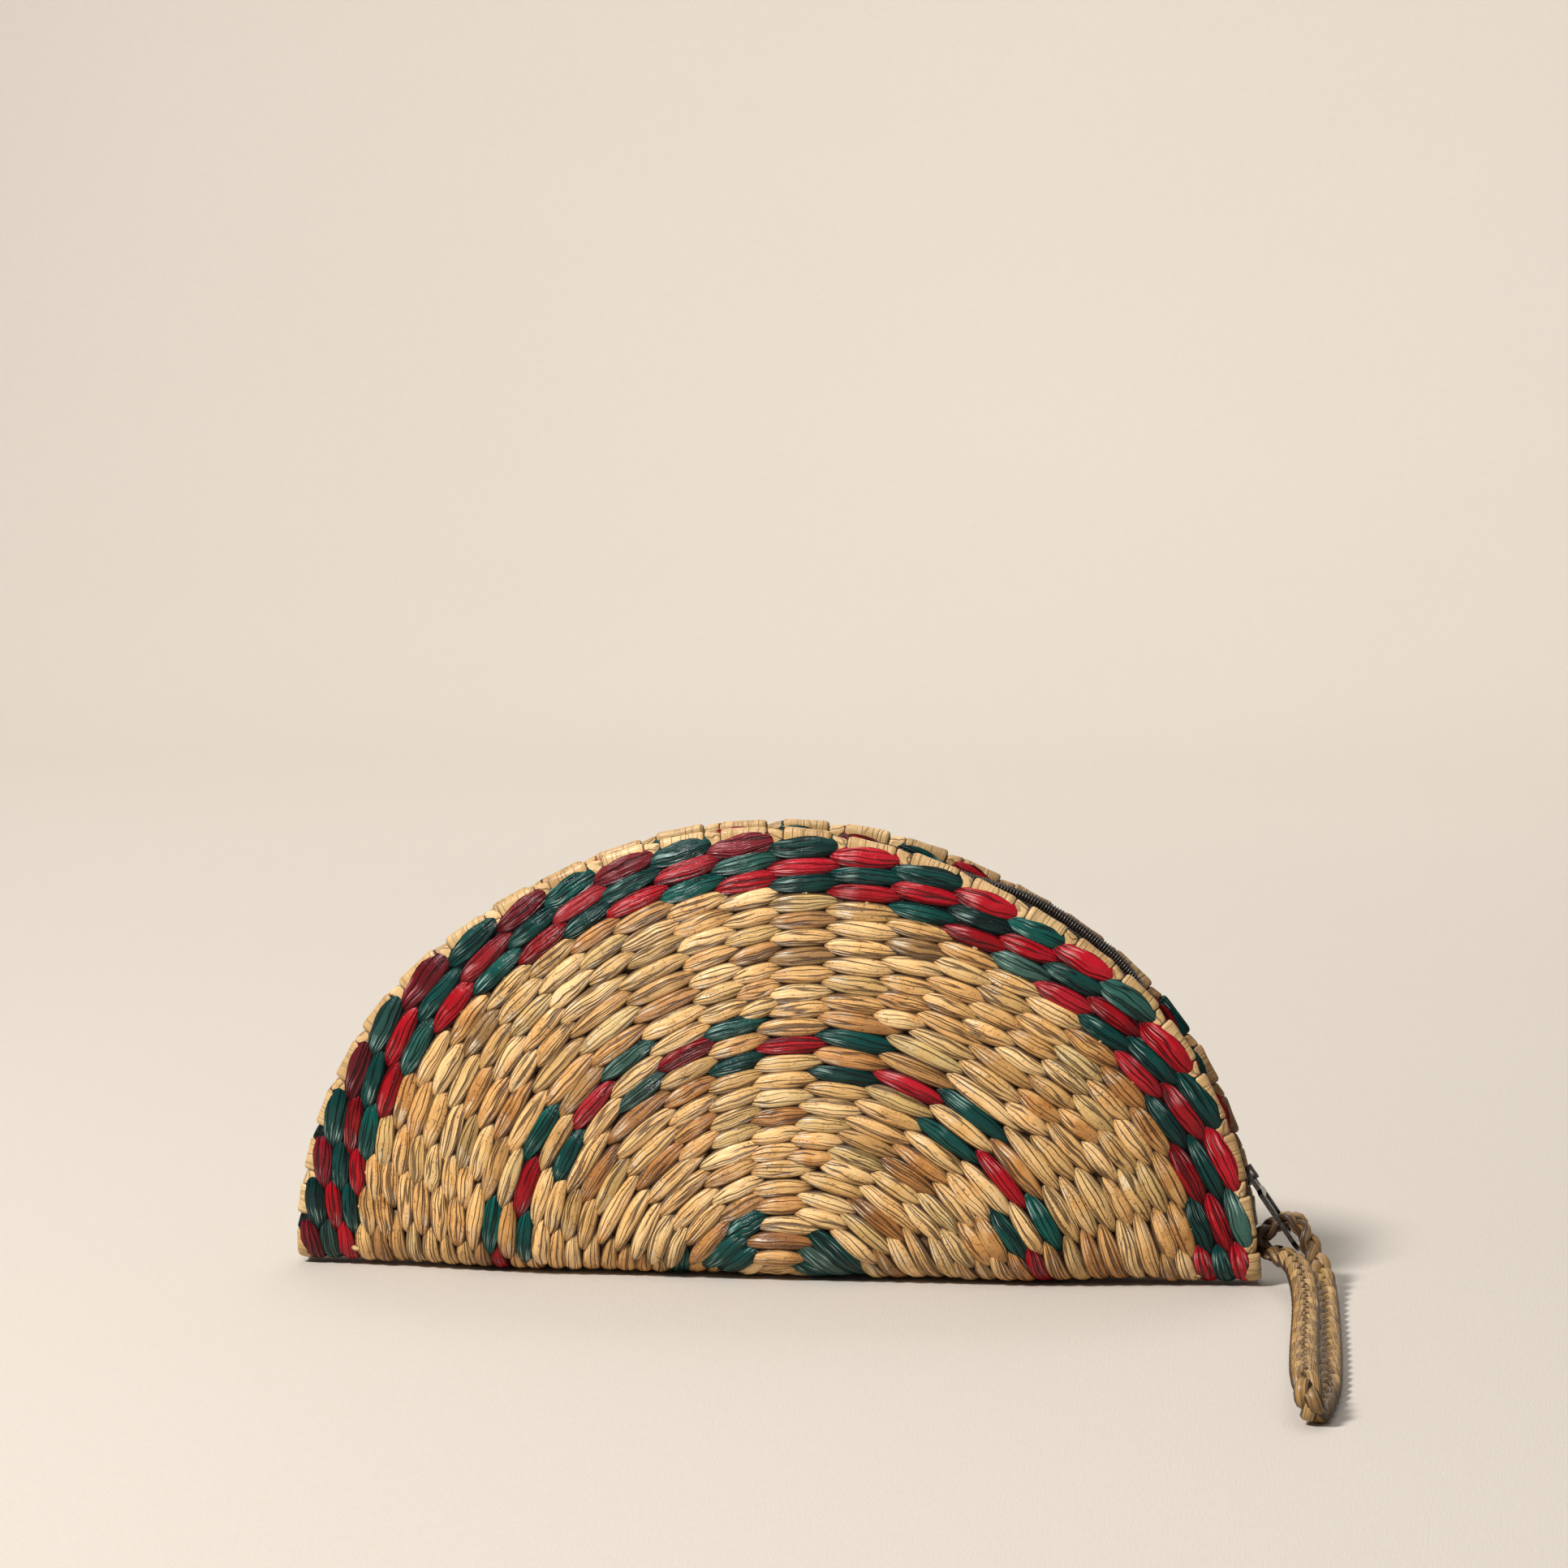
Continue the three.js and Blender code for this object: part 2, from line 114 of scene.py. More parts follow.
@dataclass(frozen=True)
class FoldedDisc:
    """The flat woven disc and the way it is folded into the bag, in metres."""

    radius: float = 150.0 * MM
    wall: float = 5.8 * MM
    flat_half: float = 7.7 * MM
    flat_half_end: float = 2.0 * MM
    bend: float = 9.8 * MM
    bend_end: float = 4.6 * MM
    mouth_half: float = 12.0 * MM
    belly: float = 1.6 * MM
    tighten_start: float = 0.45

    def fold_at(self, x: float) -> tuple[float, float]:
        """Gives the fold's size at one place along it.

        Args:
            x: place along the fold.

        Returns:
            The half width of the flat underside and the corner radius.
        """
        share = smoothstep(abs(x) / self.radius, self.tighten_start, 1.0)
        flat = lerp(self.flat_half, self.flat_half_end, share)
        return flat, lerp(self.bend, self.bend_end, share)

    def place(self, x: float, run: float, lift: float = 0.0) -> Vector:
        """Carries a point of the flat disc onto the folded bag.

        Args:
            x: place along the fold.
            run: distance from the fold's middle line, negative on the front panel.
            lift: height above the middle of the wall, towards the outside.

        Returns:
            The point in the bag's frame.
        """
        flat, bend = self.fold_at(x)
        side = -1.0 if run < 0 else 1.0
        length = abs(run)
        arc = bend * math.pi / 2
        panel = self.radius - self.flat_half - self.bend * math.pi / 2
        y, z = length, 0.0
        slope = (1.0, 0.0)
        if length > flat + arc:
            climb = length - flat - arc
            share = climb / panel
            y = lerp(flat + bend, self.mouth_half, share) + self.belly * 4 * share * (1 - share)
            z = bend + climb
            lean = (self.mouth_half - flat - bend + self.belly * 4 * (1 - 2 * share)) / panel
            size = math.hypot(lean, 1.0)
            slope = (lean / size, 1.0 / size)
        elif length > flat:
            turn = (length - flat) / bend
            y = flat + bend * math.sin(turn)
            z = bend * (1 - math.cos(turn))
            slope = (math.cos(turn), math.sin(turn))
        return Vector((x, side * (y + slope[1] * lift), self.wall / 2 + z - slope[0] * lift))

    def polar(self, radius: float, angle: float, lift: float = 0.0) -> Vector:
        """Gives a point from its disc radius and its angle in degrees.

        Args:
            radius: distance from the disc's centre.
            angle: degrees from the right end, 0 to 180 over the front panel.
            lift: height above the middle of the wall.

        Returns:
            The point in the bag's frame.
        """
        turn = math.radians(angle)
        return self.place(radius * math.cos(turn), -radius * math.sin(turn), lift)


class Wiring:
    """Adds and joins the shader nodes of one material."""

    def __init__(self, name: str) -> None:
        """Makes an empty material that ends in one Principled shader."""
        self.material = bpy.data.materials.new(name)
        self.material.use_nodes = True
        self.tree = self.material.node_tree
        self.shader = self.tree.nodes["Principled BSDF"]

    def node(self, kind: str, **settings: object) -> bpy.types.Node:
        """Adds a node and sets its properties."""
        made = self.tree.nodes.new(kind)
        for name, value in settings.items():
            setattr(made, name, value)
        return made

    def feed(self, socket: Socket, value: object) -> None:
        """Links another node's output to a socket, or sets the socket's value."""
        if isinstance(value, Socket):
            self.tree.links.new(value, socket)
        else:
            socket.default_value = value

    def math(self, operation: str, first: object, second: object = 0.0) -> Socket:
        """Adds one sum and returns its output."""
        made = self.node("ShaderNodeMath", operation=operation)
        self.feed(made.inputs[0], first)
        self.feed(made.inputs[1], second)
        return made.outputs[0]

    def plus(self, first: object, second: object) -> Socket:
        """Adds two values."""
        return self.math("ADD", first, second)

    def times(self, first: object, second: object) -> Socket:
        """Multiplies two values."""
        return self.math("MULTIPLY", first, second)

    def gap(self, value: object, middle: float) -> Socket:
        """Returns how far a value is from a middle, on either side."""
        return self.math("ABSOLUTE", self.math("SUBTRACT", value, middle))

    def sway(self, value: object, share: float) -> Socket:
        """Returns a share of what a pattern adds to or takes from its middle."""
        return self.times(self.math("SUBTRACT", value, 0.5), share)

    def place(self) -> Socket:
        """Returns the object's own coordinates."""
        return self.node("ShaderNodeTexCoord").outputs["Object"]

    def span(self, value: object, low: float, high: float, start: float = 0.0,
             end: float = 1.0) -> Socket:
        """Maps low to start and high to end, smoothly and held at both ends."""
        made = self.node("ShaderNodeMapRange", interpolation_type="SMOOTHSTEP")
        for socket, amount in zip(made.inputs, (value, low, high, start, end)):
            self.feed(socket, amount)
        return made.outputs[0]

    def noise(self, vector: object, scale: float, detail: float = 2.0,
              roughness: float = 0.5) -> Socket:
        """Adds a noise pattern and returns its height."""
        made = self.node("ShaderNodeTexNoise")
        self.feed(made.inputs["Vector"], vector)
        made.inputs["Scale"].default_value = scale
        made.inputs["Detail"].default_value = detail
        made.inputs["Roughness"].default_value = roughness
        return made.outputs[0]

    def joined(self, x: object, y: object, z: object) -> Socket:
        """Joins three values into one vector."""
        made = self.node("ShaderNodeCombineXYZ")
        for socket, value in zip(made.inputs, (x, y, z)):
            self.feed(socket, value)
        return made.outputs[0]

    def parted(self, vector: object) -> Sequence[Socket]:
        """Parts a vector into its three values."""
        made = self.node("ShaderNodeSeparateXYZ")
        self.feed(made.inputs[0], vector)
        return made.outputs

    def scaled(self, vector: object, scale: Colour) -> Socket:
        """Stretches a pattern's coordinates."""
        made = self.node("ShaderNodeMapping")
        self.feed(made.inputs["Vector"], vector)
        made.inputs["Scale"].default_value = scale
        return made.outputs[0]

    def ramp(self, value: object, stops: Sequence[tuple[float, Colour]]) -> Socket:
        """Adds a colour ramp through the given stops."""
        made = self.node("ShaderNodeValToRGB")
        line = made.color_ramp
        for index, (place, colour) in enumerate(stops):
            stop = line.elements[index] if index < 2 else line.elements.new(place)
            stop.position = place
            stop.color = (*colour, 1.0)
        self.feed(made.inputs[0], value)
        return made.outputs[0]

    def blend(self, share: object, first: object, second: object,
              mode: str = "MIX") -> Socket:
        """Mixes two colours by a share."""
        made = self.node("ShaderNodeMix", data_type="RGBA", blend_type=mode)
        self.feed(made.inputs[0], share)
        for socket, value in ((made.inputs[6], first), (made.inputs[7], second)):
            self.feed(socket, (*value, 1.0) if isinstance(value, tuple) else value)
        return made.outputs[2]

    def surface(self, colour: object, rough: object, height: object, depth: float,
                strength: float = 1.0) -> bpy.types.Material:
        """Joins the patterns to the shader.

        Args:
            colour: its colour.
            rough: its roughness.
            height: the height pattern that is pressed into it.
            depth: how deep that goes, in metres.
            strength: how much of the pressing shows.

        Returns:
            The material.
        """
        made = self.node("ShaderNodeBump")
        made.inputs["Strength"].default_value = strength
        made.inputs["Distance"].default_value = depth
        self.feed(made.inputs["Height"], height)
        for name, value in (("Base Color", colour), ("Roughness", rough), ("Normal", made.outputs[0])):
            self.feed(self.shader.inputs[name], value)
        return self.material

    def stalk(self) -> tuple[object, object, object, object, object]:
        """Reads a stalk's own coordinates and its own shade.

        Returns:
            The place along it, the place around it, its tone, its seed and its tint.
        """
        coordinates = self.node("ShaderNodeUVMap", uv_map="along")
        along, around, _ = self.parted(coordinates.outputs[0])
        shade = self.node("ShaderNodeAttribute", attribute_name="stalk")
        tone, seed, tint = self.parted(shade.outputs["Vector"])
        return along, around, tone, seed, tint


@dataclass(frozen=True)
class Grain:
    """A noise pattern on a stalk: its stretch both ways, its detail and the heights that show."""

    along: float
    around: float
    detail: float
    low: float = 0.0
    high: float = 1.0
    roughness: float = 0.5


CLOUD = Grain(2.4, 3.0, 2.0)
CROSS = Grain(34.0, 5.0, 1.0)
# The pattern of the painted highlight streaks along the fibres.
PAINTED_GLINT = Grain(2.2, 52.0, 1.0, 0.50, 0.62)
SPECK = Grain(9.0, 22.0, 1.0, 0.66, 0.72)
DOTS = Grain(30.0, 26.0, 0.0, 0.66, 0.76)
SEED_STEP = 37.0
BEND_STRETCH, BEND_SHARE = 2.2, 0.10
FOLD_STRETCH, FOLD_DETAIL = 0.55, 1.2
FIBRE_STRETCH, FIBRE_ROUGHNESS = 1.6, 0.6
# The fine splits between the fibres take SPLIT_DARK of the crease lines' painted shade.
SPLIT_MIDDLE, SPLIT_WIDTH, SPLIT_DARK = 0.42, 0.035, 0.6
CLOUD_TONE, FIBRE_TONE = 0.75, 0.45
# How dark the painted shade gets on a stalk's hidden flanks and at its tips.
UNDER_SHADE, TIP_SHADE = 0.95, 0.65


@dataclass(frozen=True)
class StalkFinish:
    """A dried or dyed stalk: long fibres, creases along it, painted shade in the creases and on its hidden
    edges and tips, and painted highlight streaks.
    """

    name: str
    stops: tuple[tuple[float, Colour], ...]
    tint: Colour
    tint_share: float
    # The dark brown of the flecks and freckles, which is also the colour of the painted shade in creases,
    # splits, hidden flanks and tips.
    edge: Colour
    rough: float
    rough_spread: float
    coat: float
    crease_depth: float
    creases: float = 7.0
    fibres: float = 46.0
    groove: float = 0.05
    fleck: float = 0.5
    # How dark the painted shade in the crease lines is.
    crease_shade: float = 0.75
    specular: float = 0.5
    freckles: float = 0.0
    # How strong the painted highlight streaks are, and their pale colour.
    painted_glint: float = 0.0
    painted_glint_tint: Colour = (1.0, 0.90, 0.70)
    # two_faced puts the painted flank shade on both narrow edges of a flat strand.
    two_faced: bool = False
    wrapped: bool = False
    # Where the painted shade starts on the flanks and at the tips.
    edge_shade_start: float = 0.158
    tip_shade_start: float = 0.80

    def build(self) -> bpy.types.Material:
        """Builds the stalk's nodes, and returns the material."""
        wires = Wiring(self.name)
        length, girth, tone, seed, tint = wires.stalk()
        along, around = (girth, length) if self.wrapped else (length, girth)
        offset = wires.times(seed, SEED_STEP)
        bend = wires.noise(wires.joined(wires.times(along, BEND_STRETCH), offset, 0.0), 1.0, 1.0)
        bent = wires.plus(around, wires.times(bend, BEND_SHARE))

        def pattern(grain: Grain, across: object = around) -> Socket:
            """Returns the height of a noise pattern."""
            spot = wires.joined(wires.times(along, grain.along), wires.times(across, grain.around), offset)
            return wires.noise(spot, 1.0, grain.detail, grain.roughness)

        def marks(grain: Grain, across: object = around) -> Socket:
            """Returns where a noise pattern shows, from 0 to 1."""
            return wires.span(pattern(grain, across), grain.low, grain.high)

        folds = pattern(Grain(FOLD_STRETCH, self.creases, FOLD_DETAIL), bent)
        fine = pattern(Grain(FIBRE_STRETCH, self.fibres, 2.0, roughness=FIBRE_ROUGHNESS), bent)
        cloud = pattern(CLOUD)
        groove = wires.span(wires.gap(folds, 0.5), 0.0, self.groove)
        split = wires.span(wires.gap(fine, SPLIT_MIDDLE), 0.0, SPLIT_WIDTH)
        shade = wires.plus(wires.plus(tone, wires.sway(cloud, CLOUD_TONE)), wires.sway(fine, FIBRE_TONE))
        colour = wires.blend(wires.times(tint, self.tint_share), wires.ramp(shade, self.stops), self.tint)
        # Painted highlight: pale streaks along the fibres towards the stalk's starting end, standing in for
        # glints of the key light.
        if self.painted_glint:
            painted_streak = wires.times(marks(PAINTED_GLINT, bent), wires.span(length, 0.10, 0.20))
            painted_streak = wires.times(painted_streak, wires.span(length, 0.28, 0.44, 1.0, 0.0))
            painted_streak = wires.times(painted_streak, wires.span(cloud, 0.36, 0.52))
            colour = wires.blend(wires.times(painted_streak, self.painted_glint), colour, self.painted_glint_tint)
        # Darkening towards the edge colour: the flecks and freckles are the stalk's own marks, and the
        # crease lines, splits, flanks and tips below are painted shade.
        darks = [wires.times(marks(SPECK), self.fleck)]
        if self.freckles:
            dots = wires.times(marks(DOTS), wires.span(cloud, 0.42, 0.62))
            darks.append(wires.times(dots, self.freckles))
        # Painted shade in the crease lines and, a share as dark, in the fine splits between the fibres.
        darks.append(wires.span(groove, 0.0, 1.0, self.crease_shade, 0.0))
        darks.append(wires.span(split, 0.0, 1.0, self.crease_shade * SPLIT_DARK, 0.0))
        # Painted shade on the flanks, where a stalk dives under its neighbours; a two-faced strand takes it
        # on both narrow edges.
        if self.two_faced:
            side = wires.math("ABSOLUTE", wires.math("COSINE", wires.times(girth, math.tau)))
            under = wires.span(side, 0.60, 0.90, 0.0, UNDER_SHADE)
        else:
            side = wires.gap(girth, 0.5)
            under = wires.span(side, self.edge_shade_start - 0.045, self.edge_shade_start + 0.03, 0.0, UNDER_SHADE)
        # Painted shade at both tips, which tuck under the neighbouring stitches.
        tip_shade = wires.span(wires.gap(length, 0.5), self.tip_shade_start / 2, 0.5, 0.0, TIP_SHADE)
        darks.append(wires.math("MAXIMUM", under, tip_shade))
        for share in darks:
            colour = wires.blend(share, colour, self.edge)
        rough = wires.plus(wires.times(fine, self.rough_spread), self.rough)
        height = wires.times(groove, 0.5)
        for part, share in ((folds, 1.1), (fine, 0.42), (pattern(CROSS), 0.10)):
            height = wires.plus(height, wires.times(part, share))
        wires.shader.inputs["Coat Weight"].default_value = self.coat
        wires.shader.inputs["Coat Roughness"].default_value = 0.15
        wires.shader.inputs["Specular IOR Level"].default_value = self.specular
        return wires.surface(colour, rough, height, self.crease_depth)


STRAW = StalkFinish(
    name="golden_stalk",
    stops=((0.0, (1.0, 0.67, 0.31)), (0.30, (0.86, 0.475, 0.160)), (0.58, (0.54, 0.225, 0.052)),
           (1.0, (0.20, 0.068, 0.014))),
    tint=(0.54, 0.42, 0.16), tint_share=0.6, edge=(0.060, 0.020, 0.005),
    rough=0.24, rough_spread=0.34, coat=0.08, crease_depth=1.1 * MM, creases=11.0, fibres=62.0,
    groove=0.06, crease_shade=0.85, freckles=0.65, painted_glint=0.62)
RED = StalkFinish(
    name="crimson_stalk",
    stops=((0.0, (0.56, 0.009, 0.026)), (0.45, (0.36, 0.002, 0.008)), (1.0, (0.12, 0.001, 0.003))),
    tint=(0.52, 0.07, 0.09), tint_share=0.30, edge=(0.035, 0.001, 0.003),
    rough=0.12, rough_spread=0.26, coat=0.0, crease_depth=1.0 * MM, fleck=0.15, specular=0.28,
    crease_shade=0.85, creases=11.0, groove=0.06, fibres=58.0, painted_glint=0.42, painted_glint_tint=(1.0, 0.56, 0.56))
MAROON = replace(
    RED, name="maroon_stalk",
    stops=((0.0, (0.26, 0.008, 0.022)), (0.45, (0.15, 0.003, 0.009)), (1.0, (0.05, 0.001, 0.003))),
    tint=(0.30, 0.05, 0.06), edge=(0.016, 0.001, 0.002), rough=0.13, painted_glint=0.34,
    painted_glint_tint=(0.90, 0.44, 0.48))
GREEN = replace(
    RED, name="bottle_green_stalk",
    stops=((0.0, (0.001, 0.115, 0.090)), (0.40, (0.0005, 0.052, 0.046)), (1.0, (0.0003, 0.010, 0.010))),
    tint=(0.10, 0.18, 0.14), tint_share=0.6, edge=(0.0003, 0.004, 0.004), rough=0.11, fleck=0.2,
    painted_glint_tint=(0.62, 0.90, 0.82))
SLEEVE = StalkFinish(
    name="sleeve_stalk",
    stops=((0.0, (0.70, 0.47, 0.22)), (0.40, (0.50, 0.295, 0.110)), (0.72, (0.25, 0.120, 0.040)),
           (1.0, (0.11, 0.048, 0.015))),
    tint=(0.46, 0.30, 0.12), tint_share=0.5, edge=(0.080, 0.034, 0.012),
    rough=0.32, rough_spread=0.25, coat=0.10, crease_depth=0.45 * MM, creases=5.0, fibres=44.0,
    crease_shade=0.22, edge_shade_start=0.60, tip_shade_start=0.95, wrapped=True, fleck=0.25)
NECK = replace(
    SLEEVE, name="neck_stalk", tint_share=0.3, rough=0.36, coat=0.0, crease_depth=0.6 * MM, creases=4.0,
    fibres=22.0, crease_shade=0.5, tip_shade_start=0.86, wrapped=False, fleck=0.5)
PLAIT = StalkFinish(
    name="plaited_stalk",
    stops=((0.0, (0.56, 0.34, 0.12)), (0.45, (0.34, 0.185, 0.058)), (1.0, (0.12, 0.052, 0.014))),
    tint=(0.33, 0.22, 0.07), tint_share=0.5, edge=(0.035, 0.014, 0.004),
    rough=0.28, rough_spread=0.25, coat=0.05, crease_depth=0.4 * MM, creases=9.0, fibres=30.0,
    crease_shade=0.45, two_faced=True, tip_shade_start=1.2)


class Dye(Enum):
    """The dyes of the stalks, with the number of their material on a woven piece."""

    NATURAL = 0
    RED = 1
    MAROON = 2
    GREEN = 3


DYE_FINISHES = {Dye.NATURAL: STRAW, Dye.RED: RED, Dye.MAROON: MAROON, Dye.GREEN: GREEN}


class Workshop:
    """Turns bmeshes into finished pieces of the bag."""

    def __init__(self) -> None:
        """Builds the shared stalk materials."""
        self.stalks = [DYE_FINISHES[dye].build() for dye in Dye]

    def piece(self, name: str, shape: bmesh.types.BMesh, materials: Sequence[bpy.types.Material],
              slot: Optional[str], levels: int = 0) -> bpy.types.Object:
        """Makes an object from a bmesh and fixes it to the bag.

        Args:
            name: the piece's name.
            shape: its finished bmesh, which is freed.
            materials: its materials, in the order of their numbers.
            slot: the record's material slot that it belongs to.
            levels: levels of subdivision on the finished piece.

        Returns:
            The new object.
        """
        mesh = bpy.data.meshes.new(name)
        for face in shape.faces:
            face.smooth = True
        shape.to_mesh(mesh)
        shape.free()
        for material in materials:
            mesh.materials.append(material)
        made = put(name, mesh)
        if levels:
            finish = made.modifiers.new("rounding", "SUBSURF")
            finish.levels = levels
            finish.render_levels = levels
        if slot:
            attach(made, BODY)
        LOG.info("%s: %d faces", name, len(mesh.polygons))
        return made


@dataclass(frozen=True)
class Shade:
    """One stalk's own tone, pattern seed and tint, each from 0 to 1."""

    tone: float
    seed: float
    tint: float = 0.0


class StalkMesh:
    """A bmesh of many stalks, each with its own coordinates and shade."""

    batch_size = 24

    def __init__(self) -> None:
        """Starts empty, with no finished batches."""
        self.batches: list[bpy.types.Mesh] = []
        self.fresh()

    def fresh(self) -> None:
        """Starts an empty bmesh with the layers that the finishes read."""
        self.shape = bmesh.new()
        self.uv = self.shape.loops.layers.uv.new("along")
        self.shade = self.shape.loops.layers.float_color.new("stalk")
        self.held = 0

    def store(self) -> None:
        """Sets the stalks made so far aside, because operators slow down on a large bmesh."""
        batch = bpy.data.meshes.new("batch")
        self.shape.to_mesh(batch)
        self.shape.free()
        self.batches.append(batch)
        self.fresh()

    def whole(self) -> bmesh.types.BMesh:
        """Returns one bmesh of every stalk."""
        self.store()
        for batch in self.batches:
            self.shape.from_mesh(batch)
            bpy.data.meshes.remove(batch)
        self.batches = []
        return self.shape

    def mark(self, verts: Sequence[bmesh.types.BMVert], where: dict, shade: Shade, number: int) -> None:
        """Writes coordinates and shade on the faces of one stalk.

        Args:
            verts: the stalk's vertices.
            where: each vertex's place along and around the stalk, both from 0 to 1.
            shade: the stalk's shade.
            number: its material's number.
        """
        faces = {face for vert in verts for face in vert.link_faces}
        for face in faces:
            face.material_index = number
            arounds = [where[loop.vert][1] for loop in face.loops if where[loop.vert][1] is not None]
            wraps = max(arounds) - min(arounds) > 0.5
            lifted = [value + 1.0 if wraps and value < 0.5 else value for value in arounds]
            middle = sum(lifted) / len(lifted)
            for loop in face.loops:
                along, around = where[loop.vert]
                if around is None:
                    around = middle
                elif wraps and around < 0.5:
                    around += 1.0
                loop[self.uv].uv = (along, around)
                loop[self.shade] = (shade.tone, shade.seed, shade.tint, 1.0)
        self.held += 1
        if self.held >= self.batch_size:
            self.store()

    def bead(self, place: Callable[[float, float, float], Vector], shade: Shade, number: int,
             sides: int = 8, rings: int = 7) -> None:
        """Adds one closed stalk that starts as a sphere and is laid in place.

        Args:
            place: gives the point for a place across, above and along the unit sphere.
            shade: the stalk's shade.
            number: its material's number.
            sides: its faces around.
            rings: its faces along.
        """
        made = bmesh.ops.create_uvsphere(self.shape, u_segments=sides, v_segments=rings, radius=1.0)
        where = {}
        for vert in made["verts"]:
            x, y, z = vert.co
            pole = math.hypot(x, y) < 1e-4
            where[vert] = (z / 2 + 0.5, None if pole else math.atan2(x, y) / math.tau + 0.5)
            vert.co = place(x, y, z)
        self.mark(made["verts"], where, shade, number)

    def strand(self, rings: Sequence[Sequence[Vector]], shade: Shade, number: int,
               turn_length: float = 1.0) -> None:
        """Adds one closed tube, extruded from ring to ring and capped at both ends.

        Args:
            rings: its rings of points, each with as many points.
            shade: the stalk's shade.
            number: its material's number.
            turn_length: how far the place along it has gone at its far end.
        """
        count = len(rings[0])
        rail = [self.shape.verts.new(point) for point in rings[0]]
        where = {vert: (0.0, index / count) for index, vert in enumerate(rail)}
        edges = list(self.shape.faces.new(rail).edges)
        everything = list(rail)
        for step, ring in enumerate(rings[1:], start=1):
            fresh, edges = grow(self.shape, edges)
            rail = [next(edge.other_vert(vert) for edge in vert.link_edges if edge.other_vert(vert) in fresh)
                    for vert in rail]
            for index, (vert, point) in enumerate(zip(rail, ring)):
                vert.co = point
                where[vert] = (turn_length * step / (len(rings) - 1), index / count)
            everything.extend(rail)
        end = bmesh.ops.contextual_create(self.shape, geom=edges)["faces"]
        faces = {face for vert in everything for face in vert.link_faces} | set(end)
        bmesh.ops.recalc_face_normals(self.shape, faces=list(faces))
        self.mark(everything, where, shade, number)


@dataclass(frozen=True)
class Column:
    """One stake of the disc, as the (radius, angle) places that it passes, in mm and degrees."""

    places: tuple[tuple[float, float], ...]

    @property
    def start(self) -> float:
        """Returns the radius at which the stake starts."""
        return self.places[-1][0]

    def angle(self, radius: float) -> float:
        """Returns the stake's angle at one radius."""
        above = self.places[0]
        for below in self.places[1:]:
            if radius >= below[0]:
                share = clamp((radius - below[0]) / (above[0] - below[0]))
                return lerp(below[1], above[1], share)
            above = below
        return above[1]


# Each stake of the front panel: its (radius in mm, angle in degrees) places, from the rim inwards.
FRONT_COLUMNS = tuple(Column(places) for places in (
    ((142, 2.9), (117, 3.6)),
    ((142, 8.4), (84, 10.6), (62, 12.0)),
    ((142, 16.6), (84, 19.0), (45, 20.0), (33, 16.0)),
    ((142, 24.8), (108, 24.4)),
    ((142, 32.8), (84, 30.7), (56, 33.0)),
    ((142, 40.5), (97, 37.0)),
    ((142, 48.4), (84, 44.7), (45, 44.0), (20, 38.0), (4, 36.0)),
    ((142, 55.2), (110, 52.0)),
    ((142, 62.0), (84, 59.0), (45, 63.0), (31, 60.0)),
    ((142, 70.0), (95, 65.5)),
    ((142, 77.8), (84, 71.8), (48, 76.0)),
    ((142, 85.7), (84, 86.1), (45, 86.0), (20, 80.0), (4, 78.0)),
    ((142, 93.2), (92, 91.5)),
    ((142, 100.5), (84, 96.0), (45, 102.0), (25, 104.0)),
    ((142, 107.9), (84, 106.6), (55, 112.0)),
    ((142, 115.1), (112, 114.5)),
    ((142, 121.3), (84, 119.1), (45, 124.0), (20, 120.0), (4, 118.0)),
    ((142, 128.4), (84, 129.5), (76, 130.5)),
    ((142, 137.6), (102, 134.5)),
    ((142, 145.9), (84, 140.5), (45, 146.0), (32, 146.0)),
    ((142, 152.3), (84, 152.8), (60, 152.0)),
    ((142, 159.9), (95, 159.5)),
    ((142, 165.9), (84, 163.8), (45, 166.0), (20, 164.0), (4, 162.0)),
    ((142, 170.9), (118, 169.0)),
    ((142, 176.5), (84, 172.5), (68, 174.0)),
))


@dataclass(frozen=True)
class Stitch:
    """One visible stitch of the weft over a stake, in metres and degrees."""

    radius: float
    angle: float
    room: float
    row: int
    order: int
    inside: bool = False


